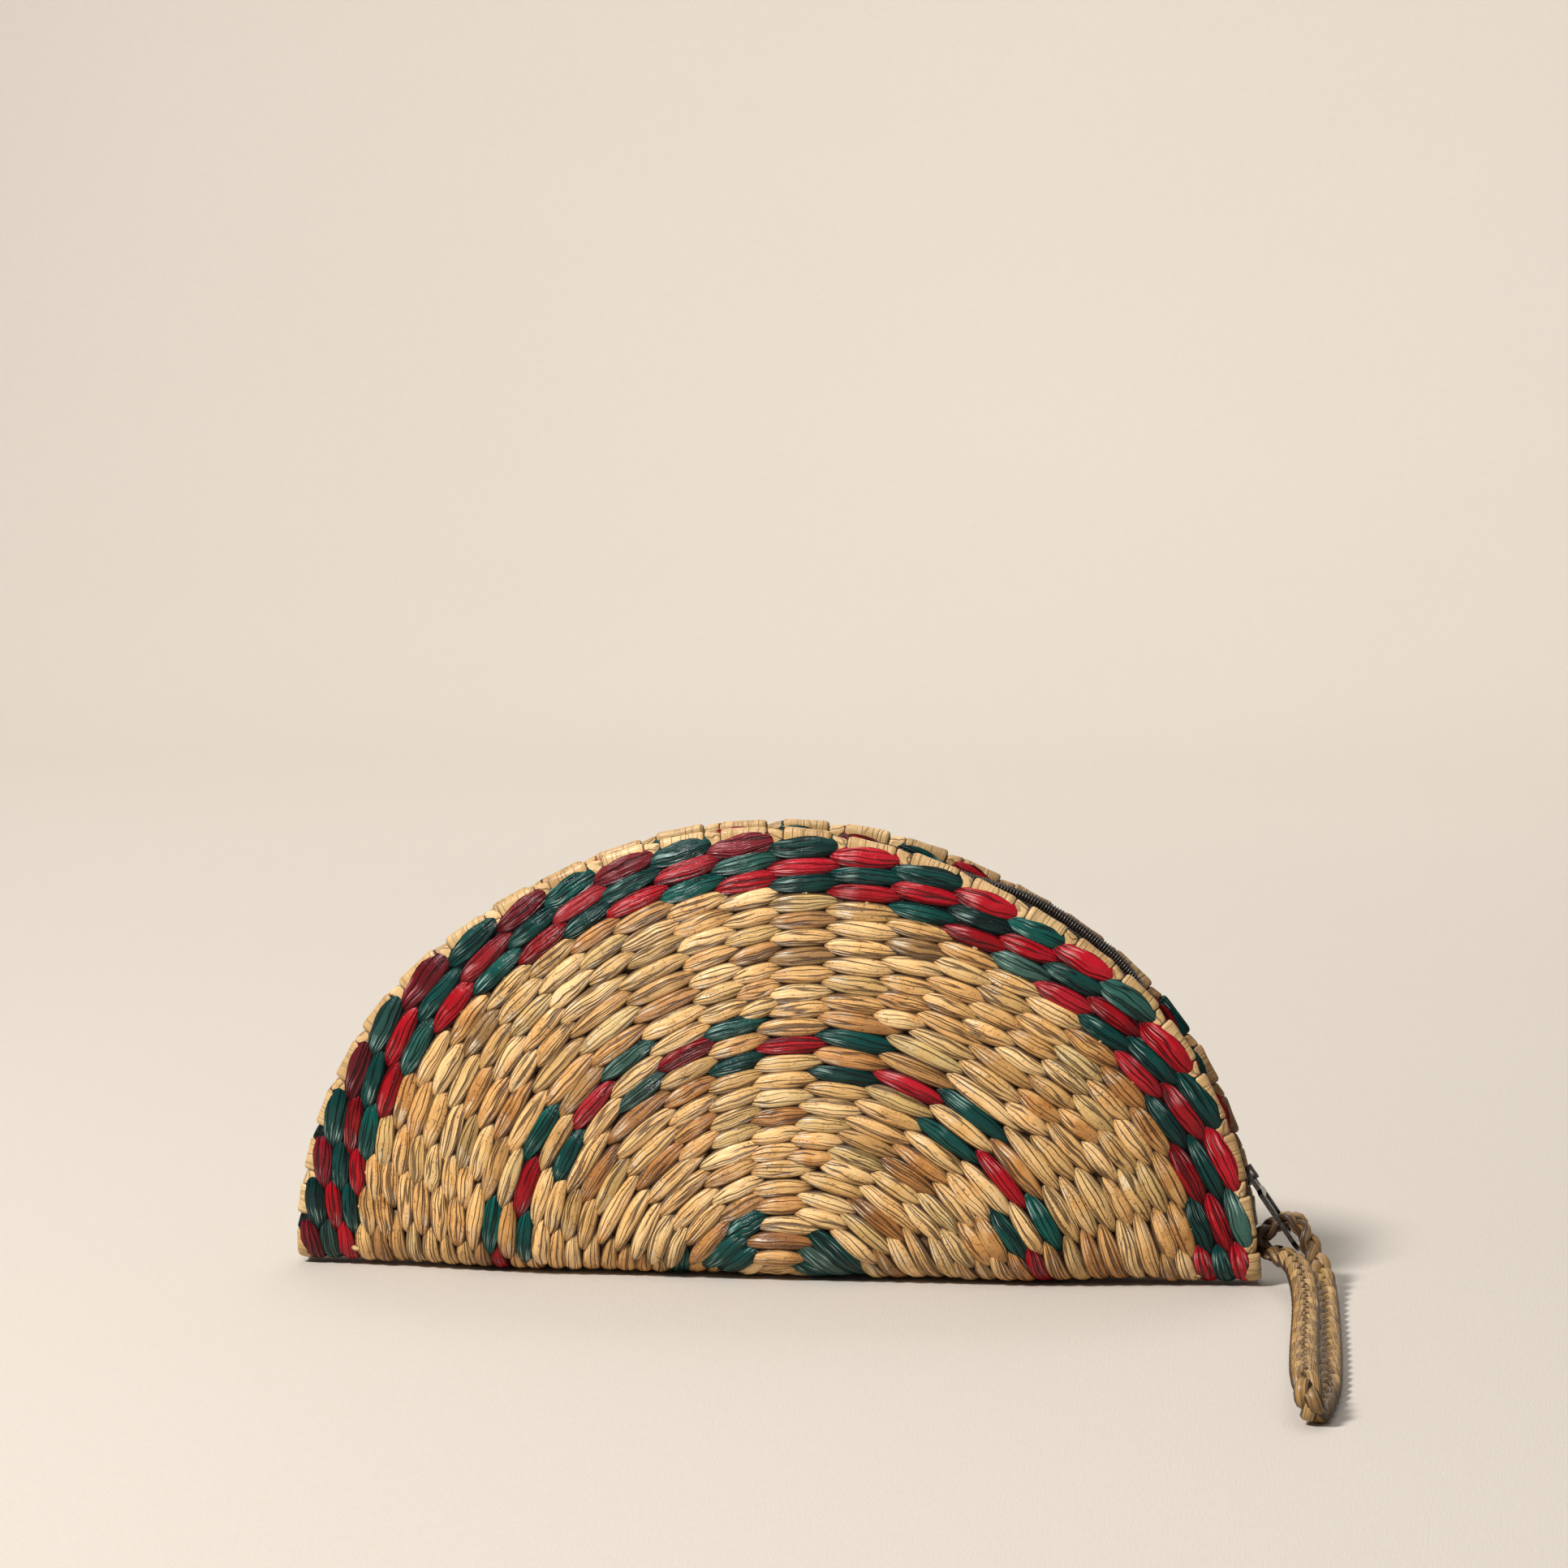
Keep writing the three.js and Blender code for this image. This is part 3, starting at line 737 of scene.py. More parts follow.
class WeftChart:
    """Says where each stitch lies and which dye it has."""

    rim_radius = 144.2
    second_radius = 138.5
    row_pitch = 5.45
    last_radius = 6.0
    border_rows = 3
    band_rows = (11, 12, 13)
    centre_rows = (22, 23, 24)

    def columns(self) -> list[Column]:
        """Returns the stakes of the whole disc, the back panel's a half turn on."""
        back = [Column(tuple((radius, angle + 180.0) for radius, angle in column.places))
                for column in FRONT_COLUMNS]
        return [*FRONT_COLUMNS, *back]

    def row(self, number: int, inside: bool = False) -> list[Stitch]:
        """Lays out one row of stitches around the disc.

        Args:
            number: the row's number, 1 at the rim.
            inside: true for the stitches that show inside the bag.

        Returns:
            The row's stitches in the order of their angles.
        """
        radius = self.second_radius - self.row_pitch * (number - 2)
        if number == 1:
            radius = self.rim_radius
        present = [column for column in self.columns() if column.start <= radius]
        angles = sorted(column.angle(radius) % 360.0 for column in present)
        stitches = []
        for order, angle in enumerate(angles):
            before, after = neighbours(angles, order)
            start, end = (before + angle) / 2, (angle + after) / 2
            room = math.radians(end - start) * radius * MM
            stitches.append(Stitch(radius * MM, (start + end) / 2, room, number, order, inside))
        return stitches

    def rows(self) -> int:
        """Returns the number of rows from the rim to the hub."""
        return int((self.second_radius - self.last_radius) / self.row_pitch) + 2

    def dye(self, stitch: Stitch) -> Dye:
        """Chooses the dye of one stitch.

        Args:
            stitch: the stitch.

        Returns:
            Its dye.
        """
        even = stitch.order % 2 == 0
        if stitch.row <= self.border_rows:
            if (stitch.row % 2 == 1) == even:
                dark = stitch.row == 1 and 83.0 < stitch.angle < 183.0
                return Dye.MAROON if dark else Dye.RED
            return Dye.GREEN
        if stitch.row in self.band_rows:
            if stitch.row == self.band_rows[1]:
                return Dye.RED if even else Dye.NATURAL
            return Dye.NATURAL if even else Dye.GREEN
        if stitch.row in self.centre_rows and stitch.order % 2 == 0:
            return Dye.GREEN
        return Dye.NATURAL


@dataclass
class WovenWall:
    """The twined wall: a core painted dark for the shade between stitches, under rows of bulging stitches.
    """

    disc: FoldedDisc
    workshop: Workshop
    core_half: float = 1.1 * MM
    core_radius: float = 145.2 * MM
    core_rings: int = 40
    core_sides: int = 120
    seat: float = 0.45 * MM
    crest: float = 2.75 * MM
    sunk: float = 0.9 * MM
    breadth: float = 7.8 * MM
    rim_breadth: float = 9.5 * MM
    hub_growth: float = 1.25
    inner_rise: float = 0.2 * MM
    overlap: float = 6.2 * MM
    point_dive: float = 1.2 * MM
    heel_dive: float = 0.35 * MM
    floor_gap: float = 0.05 * MM
    least: float = 6.0 * MM
    taper: float = 0.12
    curl: float = 0.45
    stray: float = 0.3
    skew: float = 0.18
    length_spread: Span = (0.97, 1.04)
    breadth_spread: Span = (0.93, 1.08)
    rise_spread: Span = (0.85, 1.15)
    crest_spread: Span = (0.90, 1.05)
    bit_half: Span = (2.3, 3.0)
    bit_breadth: Span = (1.3, 1.9)
    bit_crest: Span = (2.0, 2.25)
    natural_tone: Colour = (0.02, 0.62, 0.22)
    dyed_tone: Colour = (0.1, 0.9, 0.4)
    dark_tone: Span = (0.50, 0.85)
    dark_share: float = 0.16
    fold_half: float = 20.0 * MM
    inner_rows: int = 4

    def core(self) -> bpy.types.Object:
        """Builds the wall that the stitches lie on, and returns the core piece."""
        shape = bmesh.new()
        start = self.core_radius / self.core_rings
        bmesh.ops.create_circle(shape, cap_ends=True, segments=self.core_sides, radius=start)
        bmesh.ops.poke(shape, faces=list(shape.faces))
        edges = [edge for edge in shape.edges if edge.is_boundary]
        for ring in range(2, self.core_rings + 1):
            fresh, edges = grow(shape, edges)
            size = ring / (ring - 1)
            bmesh.ops.scale(shape, verts=fresh, vec=(size, size, 1.0))
        bmesh.ops.recalc_face_normals(shape, faces=list(shape.faces))
        for vert in shape.verts:
            vert.co = self.disc.place(vert.co.x, vert.co.y, -self.core_half)
        bmesh.ops.recalc_face_normals(shape, faces=list(shape.faces))
        bmesh.ops.solidify(shape, geom=list(shape.faces), thickness=-2 * self.core_half)
        bmesh.ops.recalc_face_normals(shape, faces=list(shape.faces))
        # Painted shade: the core's dark brown, speckled like the stakes, stands in for the shade in the gaps
        # between the stitches.
        wires = Wiring("stake_core_painted_shade")
        spots = wires.noise(wires.place(), 900.0, 3.0)
        colour = wires.ramp(spots, ((0.3, (0.05, 0.024, 0.009)), (0.7, (0.22, 0.115, 0.040))))
        finish = wires.surface(colour, 0.8, spots, 0.4 * MM)
        made = self.workshop.piece("woven_core", shape, [finish], "hyacinth")
        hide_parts("woven_shell")
        return made

    def shade(self, stitch: Stitch, dye: Dye, chance: random.Random) -> Shade:
        """Chooses one stitch's tone and tint.

        Args:
            stitch: the stitch.
            dye: its dye.
            chance: the seeded source of chance.

        Returns:
            Its shade.
        """
        if dye is Dye.NATURAL:
            tone = chance.triangular(*self.natural_tone)
            if chance.random() < self.dark_share:
                tone = chance.uniform(*self.dark_tone)
            tint = chance.random() ** 3
        else:
            tone = chance.triangular(*self.dyed_tone)
            tint = chance.random() ** 10
        return Shade(tone, chance.random(), tint)

    def on_bag(self, flat: Vector, lift: float) -> Vector:
        """Carries a point of the flat disc onto the bag, never below the floor."""
        point = self.disc.place(flat.x, -flat.y, lift)
        point.z = max(point.z, self.floor_gap)
        return point

    def lay(self, mesh: StalkMesh, stitch: Stitch, dye: Dye, chance: random.Random) -> None:
        """Lays one stitch on the wall.

        Args:
            mesh: the mesh that it goes into.
            stitch: where it is.
            dye: its dye.
            chance: the seeded source of chance.
        """
        side = -1.0 if stitch.inside else 1.0
        breadth = self.rim_breadth if stitch.row == 1 else self.breadth
        half = (stitch.room + self.overlap) / 2 * chance.uniform(*self.length_spread)
        broad = breadth / 2 * chance.uniform(*self.breadth_spread)
        rise = WeftChart.row_pitch * MM / 2 / max(stitch.room, self.least)
        rise *= chance.uniform(*self.rise_spread)
        if dye is Dye.GREEN and stitch.row in WeftChart.centre_rows:
            broad *= self.hub_growth
        crest = self.crest * chance.uniform(*self.crest_spread)
        shift = chance.uniform(-self.stray, self.stray) * MM
        if stitch.inside and stitch.row == 1:
            shift += self.inner_rise
        skew = chance.uniform(-self.skew, self.skew)
        outward, along = directions(stitch.angle)
        radius = max(stitch.radius, self.least)

        def place(x: float, y: float, z: float) -> Vector:
            """Returns the point of the bag for a point of the unit sphere."""
            lens = max(1.0 - z * z, 0.0001) ** self.taper if z > 0 else 1.0
            run = half * z
            across = broad * x * lens * (1.0 + skew * z) + shift
            across += run * rise - self.curl * run * run / (2.0 * radius)
            height = (crest if y > 0 else self.sunk) * y
            lift = self.seat + height - (self.point_dive if z > 0 else self.heel_dive) * z * z
            return self.on_bag(outward * (stitch.radius + across) + along * run, side * lift)

        mesh.bead(place, self.shade(stitch, dye, chance), dye.value)

    def stake_bit(self, mesh: StalkMesh, radius: float, angle: float, chance: random.Random) -> None:
        """Shows a little of a stake between two stitches.

        Args:
            mesh: the mesh that it goes into.
            radius: where its middle lies, in metres.
            angle: where it lies around the disc, in degrees.
            chance: the seeded source of chance.
        """
        outward, along = directions(angle)
        half = chance.uniform(*self.bit_half) * MM
        broad = chance.uniform(*self.bit_breadth) * MM
        crest = chance.uniform(*self.bit_crest) * MM

        def place(x: float, y: float, z: float) -> Vector:
            """Returns the point of the bag for a point of the unit sphere."""
            return self.on_bag(outward * (radius + half * z) + along * broad * x, crest * max(y, -0.4))

        mesh.bead(place, Shade(chance.uniform(0.0, 0.3), chance.random()), Dye.NATURAL.value, 8, 5)

    def stitches(self) -> list[bpy.types.Object]:
        """Weaves the rows over both panels, the fold and the inside of the rim.

        Returns:
            The woven pieces.
        """
        chart = WeftChart()
        chance = random.Random(11)
        zones = {f"woven_{zone}": StalkMesh() for zone in ("front", "back", "fold", "inside")}
        for number in range(1, chart.rows() + 1):
            for stitch in chart.row(number):
                dye = chart.dye(stitch)
                height = stitch.radius * math.sin(math.radians(stitch.angle))
                zone = "woven_front" if height > 0 else "woven_back"
                if abs(height) < self.fold_half:
                    zone = "woven_fold"
                self.lay(zones[zone], stitch, dye, chance)
        low = (chart.second_radius - 1.5 * chart.row_pitch) * MM
        for stitch in chart.row(self.inner_rows):
            zone = "woven_front" if stitch.angle < 180.0 else "woven_back"
            self.stake_bit(zones[zone], low, stitch.angle, chance)
        for number in range(1, self.inner_rows + 1):
            for stitch in chart.row(number, inside=True):
                self.lay(zones["woven_inside"], stitch, chart.dye(stitch), chance)
        made = []
        for name, mesh in zones.items():
            piece = self.workshop.piece(name, mesh.whole(), self.workshop.stalks, "hyacinth", 1)
            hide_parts("woven_shell")
            made.append(piece)
        return made


@dataclass
class RimBinding:
    """The stake ends that are folded over the rim: a flat sleeve and a neck to each stake."""

    disc: FoldedDisc
    workshop: Workshop
    top: float = 149.65 * MM
    seat: float = 144.4 * MM
    half_width: float = 1.75 * MM
    neck_length: float = 4.4 * MM
    neck_drop: float = 2.6 * MM
    dyed_sleeve: tuple[float, float] = (323.0, 331.0)
    dyed_necks: tuple[float, float] = (158.0, 214.0)
    steps: int = 8

    def ring(self, angle: float, grow: float, low: float, high: float) -> list[Vector]:
        """Gives one section of the binding.

        Args:
            angle: its place on the disc, in degrees.
            grow: its width as a share of the full width.
            low: the radius of its underside.
            high: the radius of its top.

        Returns:
            The section's points.
        """
        outline = ((1.0, 0.0), (1.04, 0.55), (0.78, 0.90), (0.28, 1.0), (-0.28, 1.0), (-0.78, 0.90),
                   (-1.04, 0.55), (-1.0, 0.0), (-0.6, -0.05), (0.6, -0.05))
        return [self.disc.polar(lerp(low, high, up), angle, self.half_width * grow * across)
                for across, up in outline]

    def sleeve(self, mesh: StalkMesh, start: float, end: float, top: float, shade: Shade,
               number: int, chance: random.Random) -> None:
        """Adds one sleeve between two angles.

        Args:
            mesh: the mesh that it goes into.
            start: its first angle, in degrees.
            end: its last angle.
            top: the radius of its top.
            shade: its shade.
            number: the number of its material.
            chance: the seeded source of chance.
        """
        sag = chance.uniform(0.15, 0.5) * MM
        tilt = chance.uniform(-0.25, 0.25) * MM
        rings = []
        for step in range(self.steps + 1):
            share = step / self.steps
            edge = min(share, 1 - share)
            grow = 0.94 + 0.08 * smoothstep(edge, 0.0, 0.2) + chance.uniform(-0.02, 0.02)
            high = top - sag * math.sin(share * math.pi) + tilt * (share - 0.5)
            high -= 0.3 * MM * (1 - smoothstep(edge, 0.0, 0.1))
            rings.append(self.ring(lerp(start, end, share), grow, self.seat, high))
        mesh.strand(rings, shade, number)

    def neck(self, mesh: StalkMesh, start: float, end: float, top: float, shade: Shade,
             number: int) -> None:
        """Adds the slanting neck between two sleeves, high at its left end.

        Args:
            mesh: the mesh that it goes into.
            start: its right end's angle, in degrees.
            end: its left end's angle.
            top: the radius of the sleeves' top.
            shade: its shade.
            number: the number of its material.
        """
        rings = []
        for step in range(5):
            share = step / 4
            high = top - 0.45 * MM - self.neck_drop * 0.35 * (1 - share)
            low = self.seat + self.neck_drop * (share - 0.5)
            grow = 0.72 + 0.10 * abs(share - 0.5)
            rings.append(self.ring(lerp(start, end, share), grow, low, high))
        mesh.strand(rings, shade, number)

    def build(self) -> bpy.types.Object:
        """Builds every sleeve and neck, and returns the binding piece."""
        chance = random.Random(5)
        mesh = StalkMesh()
        row = WeftChart().row(1)
        angles = [stitch.angle for stitch in row]
        neck = math.degrees(self.neck_length / 2 / self.top)
        for index, stitch in enumerate(row):
            before, after = neighbours(angles, index)
            start = (before + stitch.angle) / 2 + neck
            end = (stitch.angle + after) / 2 - neck
            top = self.top + chance.uniform(-0.35, 0.3) * MM
            back = stitch.angle > 180.0
            right = math.cos(math.radians(stitch.angle)) > 0.2
            tone = chance.uniform(0.05, 0.42)
            if back:
                tone = chance.uniform(0.55, 0.85) if right else chance.uniform(0.2, 0.5)
            dyed = self.dyed_sleeve[0] < stitch.angle < self.dyed_sleeve[1]
            shade = Shade(tone, chance.random(), 0.0 if dyed else chance.random() ** 2)
            self.sleeve(mesh, start, end, top, shade, 2 if dyed else 0, chance)
            dyed = self.dyed_necks[0] < stitch.angle < self.dyed_necks[1] and index % 3 != 1
            shade = Shade(clamp(tone - 0.12), chance.random(), 0.0)
            self.neck(mesh, end - 0.25 * neck, end + 2.25 * neck, top, shade, 2 if dyed else 1)
        finishes = [SLEEVE.build(), NECK.build(), self.workshop.stalks[Dye.GREEN.value]]
        made = self.workshop.piece("rim_wraps", mesh.whole(), finishes, "rim_stalk", 1)
        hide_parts("rim_binding")
        return made


ROUTE = (
    (155.0, 0.0, 19.1), (152.4, 0.0, 17.6), (149.9, 0.0, 15.9), (148.5, -0.1, 13.7),
    (148.9, -0.4, 11.5), (151.1, -1.3, 10.4), (153.8, -4.4, 10.2), (156.8, -10.0, 10.1),
    (159.9, -19.0, 9.9), (162.2, -36.0, 8.8),
    (163.8, -62.0, 7.8), (164.4, -92.0, 7.6), (164.8, -128.0, 8.6), (165.4, -160.0, 10.6),
    (165.9, -176.0, 11.8), (166.4, -183.0, 11.6), (167.2, -187.6, 9.0), (168.0, -188.2, 5.6),
    (169.0, -184.4, 3.0), (170.2, -176.0, 2.6), (171.6, -152.0, 2.6), (171.4, -118.0, 2.6),
    (170.6, -84.0, 2.6), (169.6, -52.0, 2.7), (168.6, -30.0, 3.7), (167.4, -16.0, 6.2),
    (165.2, -8.0, 10.6), (162.7, -3.8, 15.6), (160.2, -1.6, 19.2), (157.6, -0.3, 20.5),
    (155.35, 0.0, 19.35),
)


@dataclass
class PullLoop:
    """The plaited loop through the tab: three flat strands along one route."""

    workshop: Workshop
    width: float = 8.2 * MM
    thickness: float = 5.6 * MM
    strand_width: float = 4.4 * MM
    strand_thickness: float = 2.7 * MM
    period: float = 23.0 * MM
    step: float = 1.25 * MM
    sides: int = 8
    curve_steps: int = 24
    roll: float = 0.55

    def route(self) -> list[Vector]:
        """Returns the loop's middle line as points an even step apart."""
        keys = [Vector(point) * MM for point in ROUTE]
        padded = [keys[0] * 2 - keys[1], *keys, keys[-1] * 2 - keys[-2]]
        dense = []
        for index in range(len(padded) - 3):
            points = padded[index:index + 4]
            times = [0.0]
            for start, end in zip(points, points[1:]):
                times.append(times[-1] + (end - start).length ** 0.5)
            for part in range(self.curve_steps):
                time = lerp(times[1], times[2], part / self.curve_steps)
                outer = [tween(points[i], points[i + 1], times[i], times[i + 1], time) for i in range(3)]
                inner = [tween(outer[i], outer[i + 1], times[i], times[i + 2], time) for i in range(2)]
                dense.append(tween(inner[0], inner[1], times[1], times[2], time))
        dense.append(keys[-1])
        total = reach(dense)
        count = round(total / self.step)
        even = [dense[0]]
        gone = 0.0
        for start, end in zip(dense, dense[1:]):
            part = (end - start).length
            while len(even) < count and gone + part >= total * len(even) / count:
                even.append(start.lerp(end, (total * len(even) / count - gone) / part))
            gone += part
        even.append(dense[-1])
        return even

    def frames(self, line: Sequence[Vector]) -> list[tuple[Vector, Vector, Vector]]:
        """Sets a width and a thickness direction at each point of the route.

        Args:
            line: the route.

        Returns:
            The point, the direction across the plait and the direction through it.
        """
        hints = ((0.0, (0.0, 1.0, 0.0)), (0.020, (-0.6, 0.6, 0.0)), (0.035, (-1.0, 0.2, 0.0)),
                 (0.365, (-1.0, 0.0, 0.0)), (0.385, (-0.6, -0.5, 0.0)), (0.40, (0.0, -1.0, 0.0)))
        frames = []
        gone = 0.0
        for index, point in enumerate(line):
            tangent = heading(line, index)
            if index:
                gone += (point - line[index - 1]).length
            low = max((hint for hint in hints if hint[0] <= gone), key=lambda hint: hint[0])
            high = min((hint for hint in hints if hint[0] > gone), key=lambda hint: hint[0], default=low)
            share = 0.0 if high is low else (gone - low[0]) / (high[0] - low[0])
            across = Vector(low[1]).lerp(Vector(high[1]), share)
            across = (across - tangent * across.dot(tangent)).normalized()
            frames.append((point, across, tangent.cross(across)))
        return frames

    def build(self) -> bpy.types.Object:
        line = self.route()
        frames = self.frames(line)
        chance = random.Random(3)
        mesh = StalkMesh()
        swing = (self.width - self.strand_width) / 2
        hop = (self.thickness - self.strand_thickness) / 2
        for number in range(3):
            phase = math.tau * number / 3
            centres = []
            for index, (point, across, through) in enumerate(frames):
                turn = math.tau * index * self.step / self.period + phase
                centres.append(point + across * swing * math.sin(turn) - through * hop * math.sin(2 * turn))
            rings = []
            for index, (point, across, through) in enumerate(frames):
                tangent = heading(centres, index)
                turn = math.tau * index * self.step / self.period + phase
                through = (through - tangent * through.dot(tangent)).normalized()
                flat = tangent.cross(through)
                twist = self.roll * math.cos(turn) * math.cos(turn) * math.sin(turn)
                roll = Matrix.Rotation(twist, 3, tangent)
                flat, through = roll @ flat, roll @ through
                ring = []
                for side in range(self.sides):
                    around = math.tau * side / self.sides
                    ring.append(centres[index] + flat * (math.cos(around) * self.strand_width / 2)
                                + through * (math.sin(around) * self.strand_thickness / 2))
                rings.append(ring)
            mesh.strand(rings, Shade(0.35 + 0.15 * number, chance.random(), 0.3), 0, 20.0)
        made = self.workshop.piece("plaited_loop", mesh.whole(), [PLAIT.build()], "plait")
        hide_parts("pull_loop")
        return made


@dataclass
class Zip:
    """The zip along the mouth: the line it follows and its rows of nylon teeth."""

    disc: FoldedDisc
    workshop: Workshop
    end_angle: float = 7.4
    slider_angle: float = 14.3
    slider_length: float = 13.0 * MM
    post_length: float = 2.2 * MM
    parted_half: float = 1.35 * MM
    closed_half: float = 0.15 * MM
    tooth_rise: float = 2.3 * MM
    tooth_pitch: float = 1.0 * MM
    bulge: float = 1.5 * MM
    bulge_span: tuple[float, float, float, float] = (34.0, 46.0, 58.0, 70.0)
    tooth_width: float = 2.4 * MM
    tooth_height: float = 2.0 * MM
    levels: tuple[tuple[float, float], ...] = (
        (0.0, 3.6), (9.0, 4.2), (20.5, 11.2), (32.0, 8.2), (46.0, 4.2), (56.0, 3.8), (68.0, 6.2),
        (90.0, 8.0), (180.0, 8.0))

    def depth(self, angle: float) -> float:
        """Returns how far the zip lies below the rim at one angle, in metres."""
        for (low, above), (high, below) in zip(self.levels, self.levels[1:]):
            if angle <= high:
                return lerp(above, below, smoothstep(angle, low, high)) * MM
        return self.levels[-1][1] * MM

    def half_gap(self, angle: float) -> float:
        """Returns half the distance between the rows of teeth at one angle."""
        closed = self.slider_angle + math.degrees(self.slider_length / 4 / self.disc.radius)
        opened = self.slider_angle - math.degrees(self.post_length / 4 / self.disc.radius)
        return lerp(self.parted_half, self.closed_half, smoothstep(angle, opened, closed))

    def point(self, angle: float, rise: float, across: float) -> Vector:
        """Gives a point of the zip.

        Args:
            angle: its place along the arch, in degrees.
            rise: its height above the underside of the tape.
            across: its distance from the bag's middle plane.

        Returns:
            The point.
        """
        made = self.disc.polar(self.disc.radius - self.depth(angle) + rise, angle)
        made.y = across
        return made

    def teeth(self, side: float, finish: bpy.types.Material) -> bpy.types.Object:
        """Builds one row of teeth.

        Args:
            side: -1 for the front row, 1 for the back row.
            finish: the nylon.

        Returns:
            The row.
        """
        mesh = StalkMesh()
        pitch = math.degrees(self.tooth_pitch / self.disc.radius)
        count = int((180.0 - 2 * self.end_angle) / pitch)
        for number in range(count):
            angle = self.end_angle + (number + (0.5 if side > 0 else 0.0)) * pitch
            start, full, fading, over = self.bulge_span
            lift = self.bulge * smoothstep(angle, start, full) * (1.0 - smoothstep(angle, fading, over))
            for lane in (0.27, 0.73):
                middle = self.half_gap(angle) + self.tooth_width * lane

                def place(x: float, y: float, z: float, angle: float = angle, middle: float = middle,
                          lift: float = lift) -> Vector:
                    """Returns the point of the row for a point of the unit sphere."""
                    across = side * (middle + z * self.tooth_width * 0.30)
                    rise = self.tooth_rise + lift * (y + 1.0) / 2 + y * self.tooth_height * 0.5
                    return self.point(angle + x * pitch * 0.50, rise, across)

                mesh.bead(place, Shade(0.5, 0.5), 0, 6, 4)
        name = "front" if side < 0 else "back"
        made = self.workshop.piece(f"zip_teeth_{name}", mesh.whole(), [finish], "zip_coil")
        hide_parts(f"zip_coil_{name}")
        return made

    def nylon(self) -> bpy.types.Material:
        """Builds the dark nylon of the teeth."""
        wires = Wiring("zip_teeth_nylon")
        bands = wires.noise(wires.place(), 1500.0, 1.0)
        colour = wires.ramp(bands, ((0.35, (0.010, 0.007, 0.006)), (0.7, (0.055, 0.036, 0.026))))
        return wires.surface(colour, 0.28, bands, 0.1 * MM)

    def build(self) -> None:
        """Builds both rows of teeth."""
        finish = self.nylon()
        for side in (-1.0, 1.0):
            self.teeth(side, finish)


class Fittings:
    """The zip's tapes, slider and tab, which keep the solids' own shapes."""

    def tape(self) -> bpy.types.Material:
        """Builds the woven zip tape, with its rows of small knots."""
        wires = Wiring("zip_tape_weave")
        knots = wires.node("ShaderNodeTexVoronoi")
        wires.feed(knots.inputs["Vector"], wires.place())
        knots.inputs["Scale"].default_value = 1050.0
        knots.inputs["Randomness"].default_value = 0.35
        round_knots = wires.span(knots.outputs["Distance"], 0.15, 0.65, 1.0, 0.0)
        colour = wires.ramp(round_knots, ((0.0, (0.006, 0.004, 0.003)), (1.0, (0.085, 0.055, 0.038))))
        return wires.surface(colour, 0.55, round_knots, 0.5 * MM)

    def metal(self) -> bpy.types.Material:
        """Builds the worn gunmetal of the slider and tab."""
        wires = Wiring("gunmetal_plate")
        wear = wires.noise(wires.place(), 700.0, 3.0, 0.6)
        colour = wires.ramp(wear, ((0.35, (0.035, 0.033, 0.032)), (0.7, (0.11, 0.105, 0.10))))
        wires.shader.inputs["Metallic"].default_value = 1.0
        return wires.surface(colour, wires.span(wear, 0.3, 0.7, 0.14, 0.32), wear, 0.03 * MM)

    def dress(self) -> None:
        """Gives each kept solid its material."""
        finishes = {"zip_tape_front": self.tape(), "zip_slider": self.metal()}
        finishes["zip_tape_back"] = finishes["zip_tape_front"]
        finishes["zip_pull_tab"] = finishes["zip_slider"]
        for name, material in finishes.items():
            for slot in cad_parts[name].material_slots:
                slot.material = material
            LOG.info("%s: %s", name, material.name)


@dataclass(frozen=True)
class Lamp:
    """A square area light: where it stands, the point it faces, its side in metres and its watts."""

    name: str
    place: Colour
    aim: Colour
    size: float
    power: float
    colour: Colour

    def add(self) -> None:
        """Adds the light to the scene."""
        data = bpy.data.lights.new(self.name, "AREA")
        data.size = self.size
        data.energy = self.power
        data.color = self.colour
        made = put(self.name, data)
        made.location = self.place
        made.rotation_euler = (Vector(self.aim) - Vector(self.place)).to_track_quat("-Z", "Y").to_euler()


LAMPS = (
    Lamp("key", (-1.0, -1.25, 1.65), (0.0, 0.0, 0.05), 0.42, 67.0, (1.0, 0.98, 0.95)),
    Lamp("top", (0.0, 0.4, 2.2), (0.0, 0.3, 0.0), 2.0, 13.0, (1.0, 0.985, 0.96)),
    Lamp("wash", (0.0, 1.9, 2.6), (0.0, 2.6, 0.3), 1.6, 21.0, (1.0, 0.985, 0.96)),
)


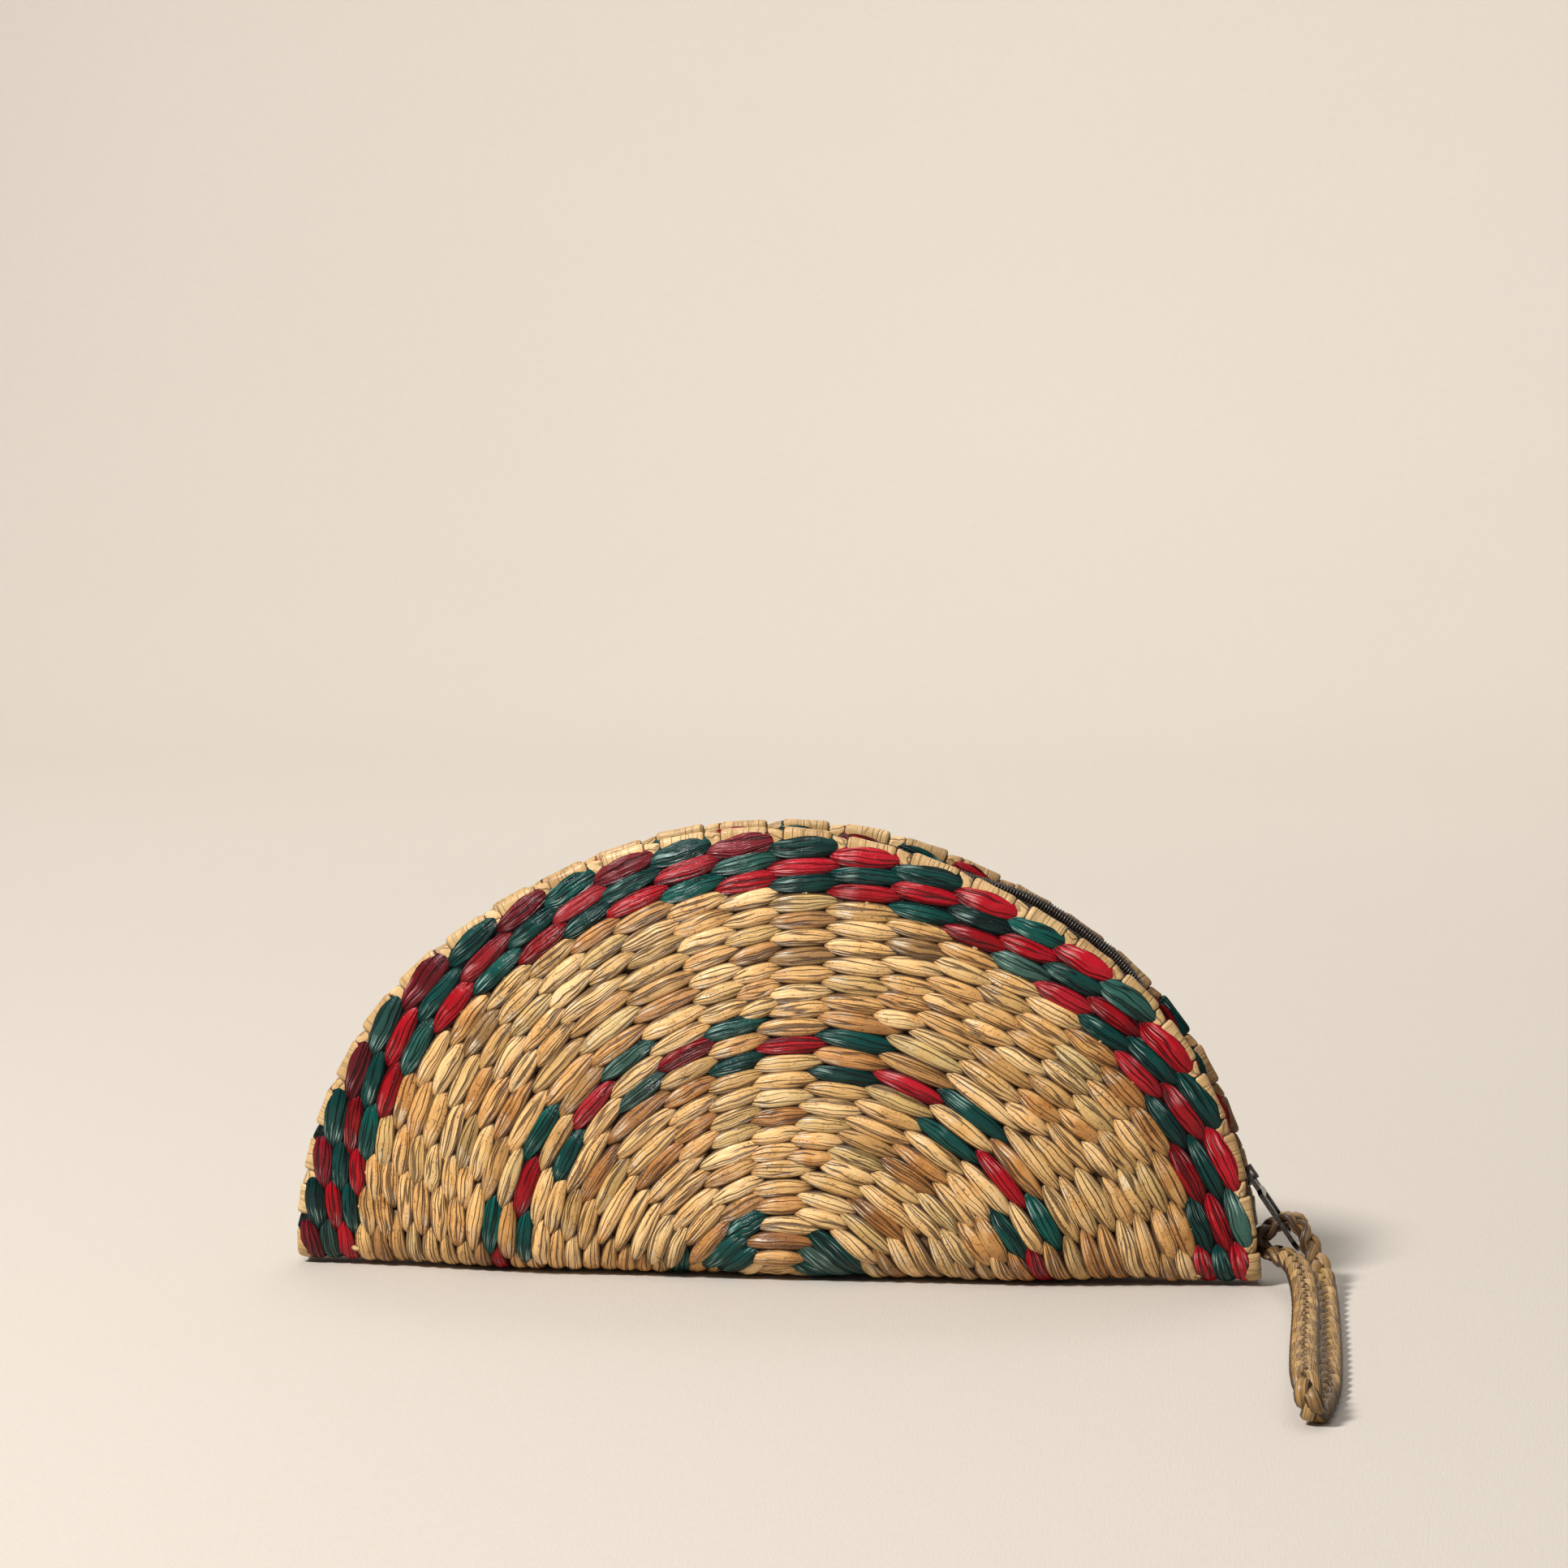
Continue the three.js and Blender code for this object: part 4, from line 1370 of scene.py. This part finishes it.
@dataclass
class Studio:
    """The camera, the pale floor and the soft lights."""

    azimuth: float = 7.3
    distance: float = 1.5
    height: float = 0.305
    pitch: float = 5.86
    yaw: float = -0.1
    focal_pixels: float = 6086.0
    picture_pixels: float = 1932.0
    sensor: float = 36.0
    floor_half: float = 3.6
    wall_distance: float = 2.7
    wall_height: float = 3.6
    corner: float = 1.1
    corner_steps: int = 12

    def camera(self) -> bpy.types.Object:
        """Places the camera at the photograph's angle, and returns the camera."""
        data = bpy.data.cameras.new("camera")
        data.sensor_width = self.sensor
        data.lens = self.focal_pixels / self.picture_pixels * self.sensor
        data.clip_end = 20.0
        made = put("camera", data)
        turn = math.radians(self.azimuth)
        made.location = (self.distance * math.sin(turn), -self.distance * math.cos(turn), self.height)
        heading = math.radians(self.azimuth + self.yaw)
        made.rotation_euler = (math.radians(90.0 - self.pitch), 0.0, heading)
        bpy.context.scene.camera = made
        return made

    def floor(self, workshop: Workshop) -> bpy.types.Object:
        """Builds the floor that curves up into the wall behind the bag.

        Args:
            workshop: makes the piece.

        Returns:
            The floor.
        """
        shape = bmesh.new()
        width = self.floor_half
        start = self.wall_distance - self.corner
        line = [Vector((-width, -width, 0.0))]
        for step in range(self.corner_steps + 1):
            turn = math.pi / 2 * step / self.corner_steps
            line.append(Vector((-width, start + self.corner * math.sin(turn),
                                self.corner * (1 - math.cos(turn)))))
        line.append(Vector((-width, self.wall_distance, self.wall_height)))
        verts = [shape.verts.new(point) for point in line]
        fresh, _ = grow(shape, [shape.edges.new(pair) for pair in zip(verts, verts[1:])])
        bmesh.ops.translate(shape, verts=fresh, vec=(2 * width, 0.0, 0.0))
        bmesh.ops.recalc_face_normals(shape, faces=list(shape.faces))
        wires = Wiring("pale_cloth_floor")
        coordinates = wires.place()
        warp = wires.noise(wires.scaled(coordinates, (160.0, 1400.0, 1400.0)), 1.0, 2.0)
        weft = wires.noise(wires.scaled(coordinates, (1400.0, 160.0, 160.0)), 1.0, 2.0)
        weave = wires.plus(warp, weft)
        cloud = wires.noise(coordinates, 2.2, 2.0)
        tone = wires.plus(wires.times(weave, 0.5), wires.times(cloud, 0.35))
        near = wires.ramp(tone, ((0.35, (0.510, 0.464, 0.411)), (1.0, (0.548, 0.504, 0.455))))
        far = wires.ramp(tone, ((0.35, (0.781, 0.711, 0.633)), (1.0, (0.828, 0.764, 0.688))))
        depth = wires.span(wires.parted(coordinates)[1], -0.5, 2.0)
        wires.shader.inputs["Specular IOR Level"].default_value = 0.15
        finish = wires.surface(wires.blend(depth, near, far), 0.9, weave, 0.15 * MM, 0.5)
        made = workshop.piece("floor", shape, [finish], None)
        return made

    def lights(self) -> None:
        """Adds the lamps and the even light around."""
        for lamp in LAMPS:
            lamp.add()
        world = bpy.data.worlds.new("studio")
        world.use_nodes = True
        background = world.node_tree.nodes["Background"]
        background.inputs["Color"].default_value = (1.0, 0.975, 0.945, 1.0)
        background.inputs["Strength"].default_value = 0.18
        bpy.context.scene.world = world
        bpy.context.scene.view_settings.view_transform = "Standard"


def main() -> None:
    """Builds the whole scene."""
    logging.basicConfig(level=logging.INFO, format="%(message)s")
    workshop = Workshop()
    disc = FoldedDisc()
    studio = Studio()
    studio.camera()
    PullLoop(workshop).build()
    wall = WovenWall(disc, workshop)
    wall.core()
    wall.stitches()
    RimBinding(disc, workshop).build()
    Zip(disc, workshop).build()
    Fittings().dress()
    studio.floor(workshop)
    studio.lights()


if __name__ == "__main__":
    main()
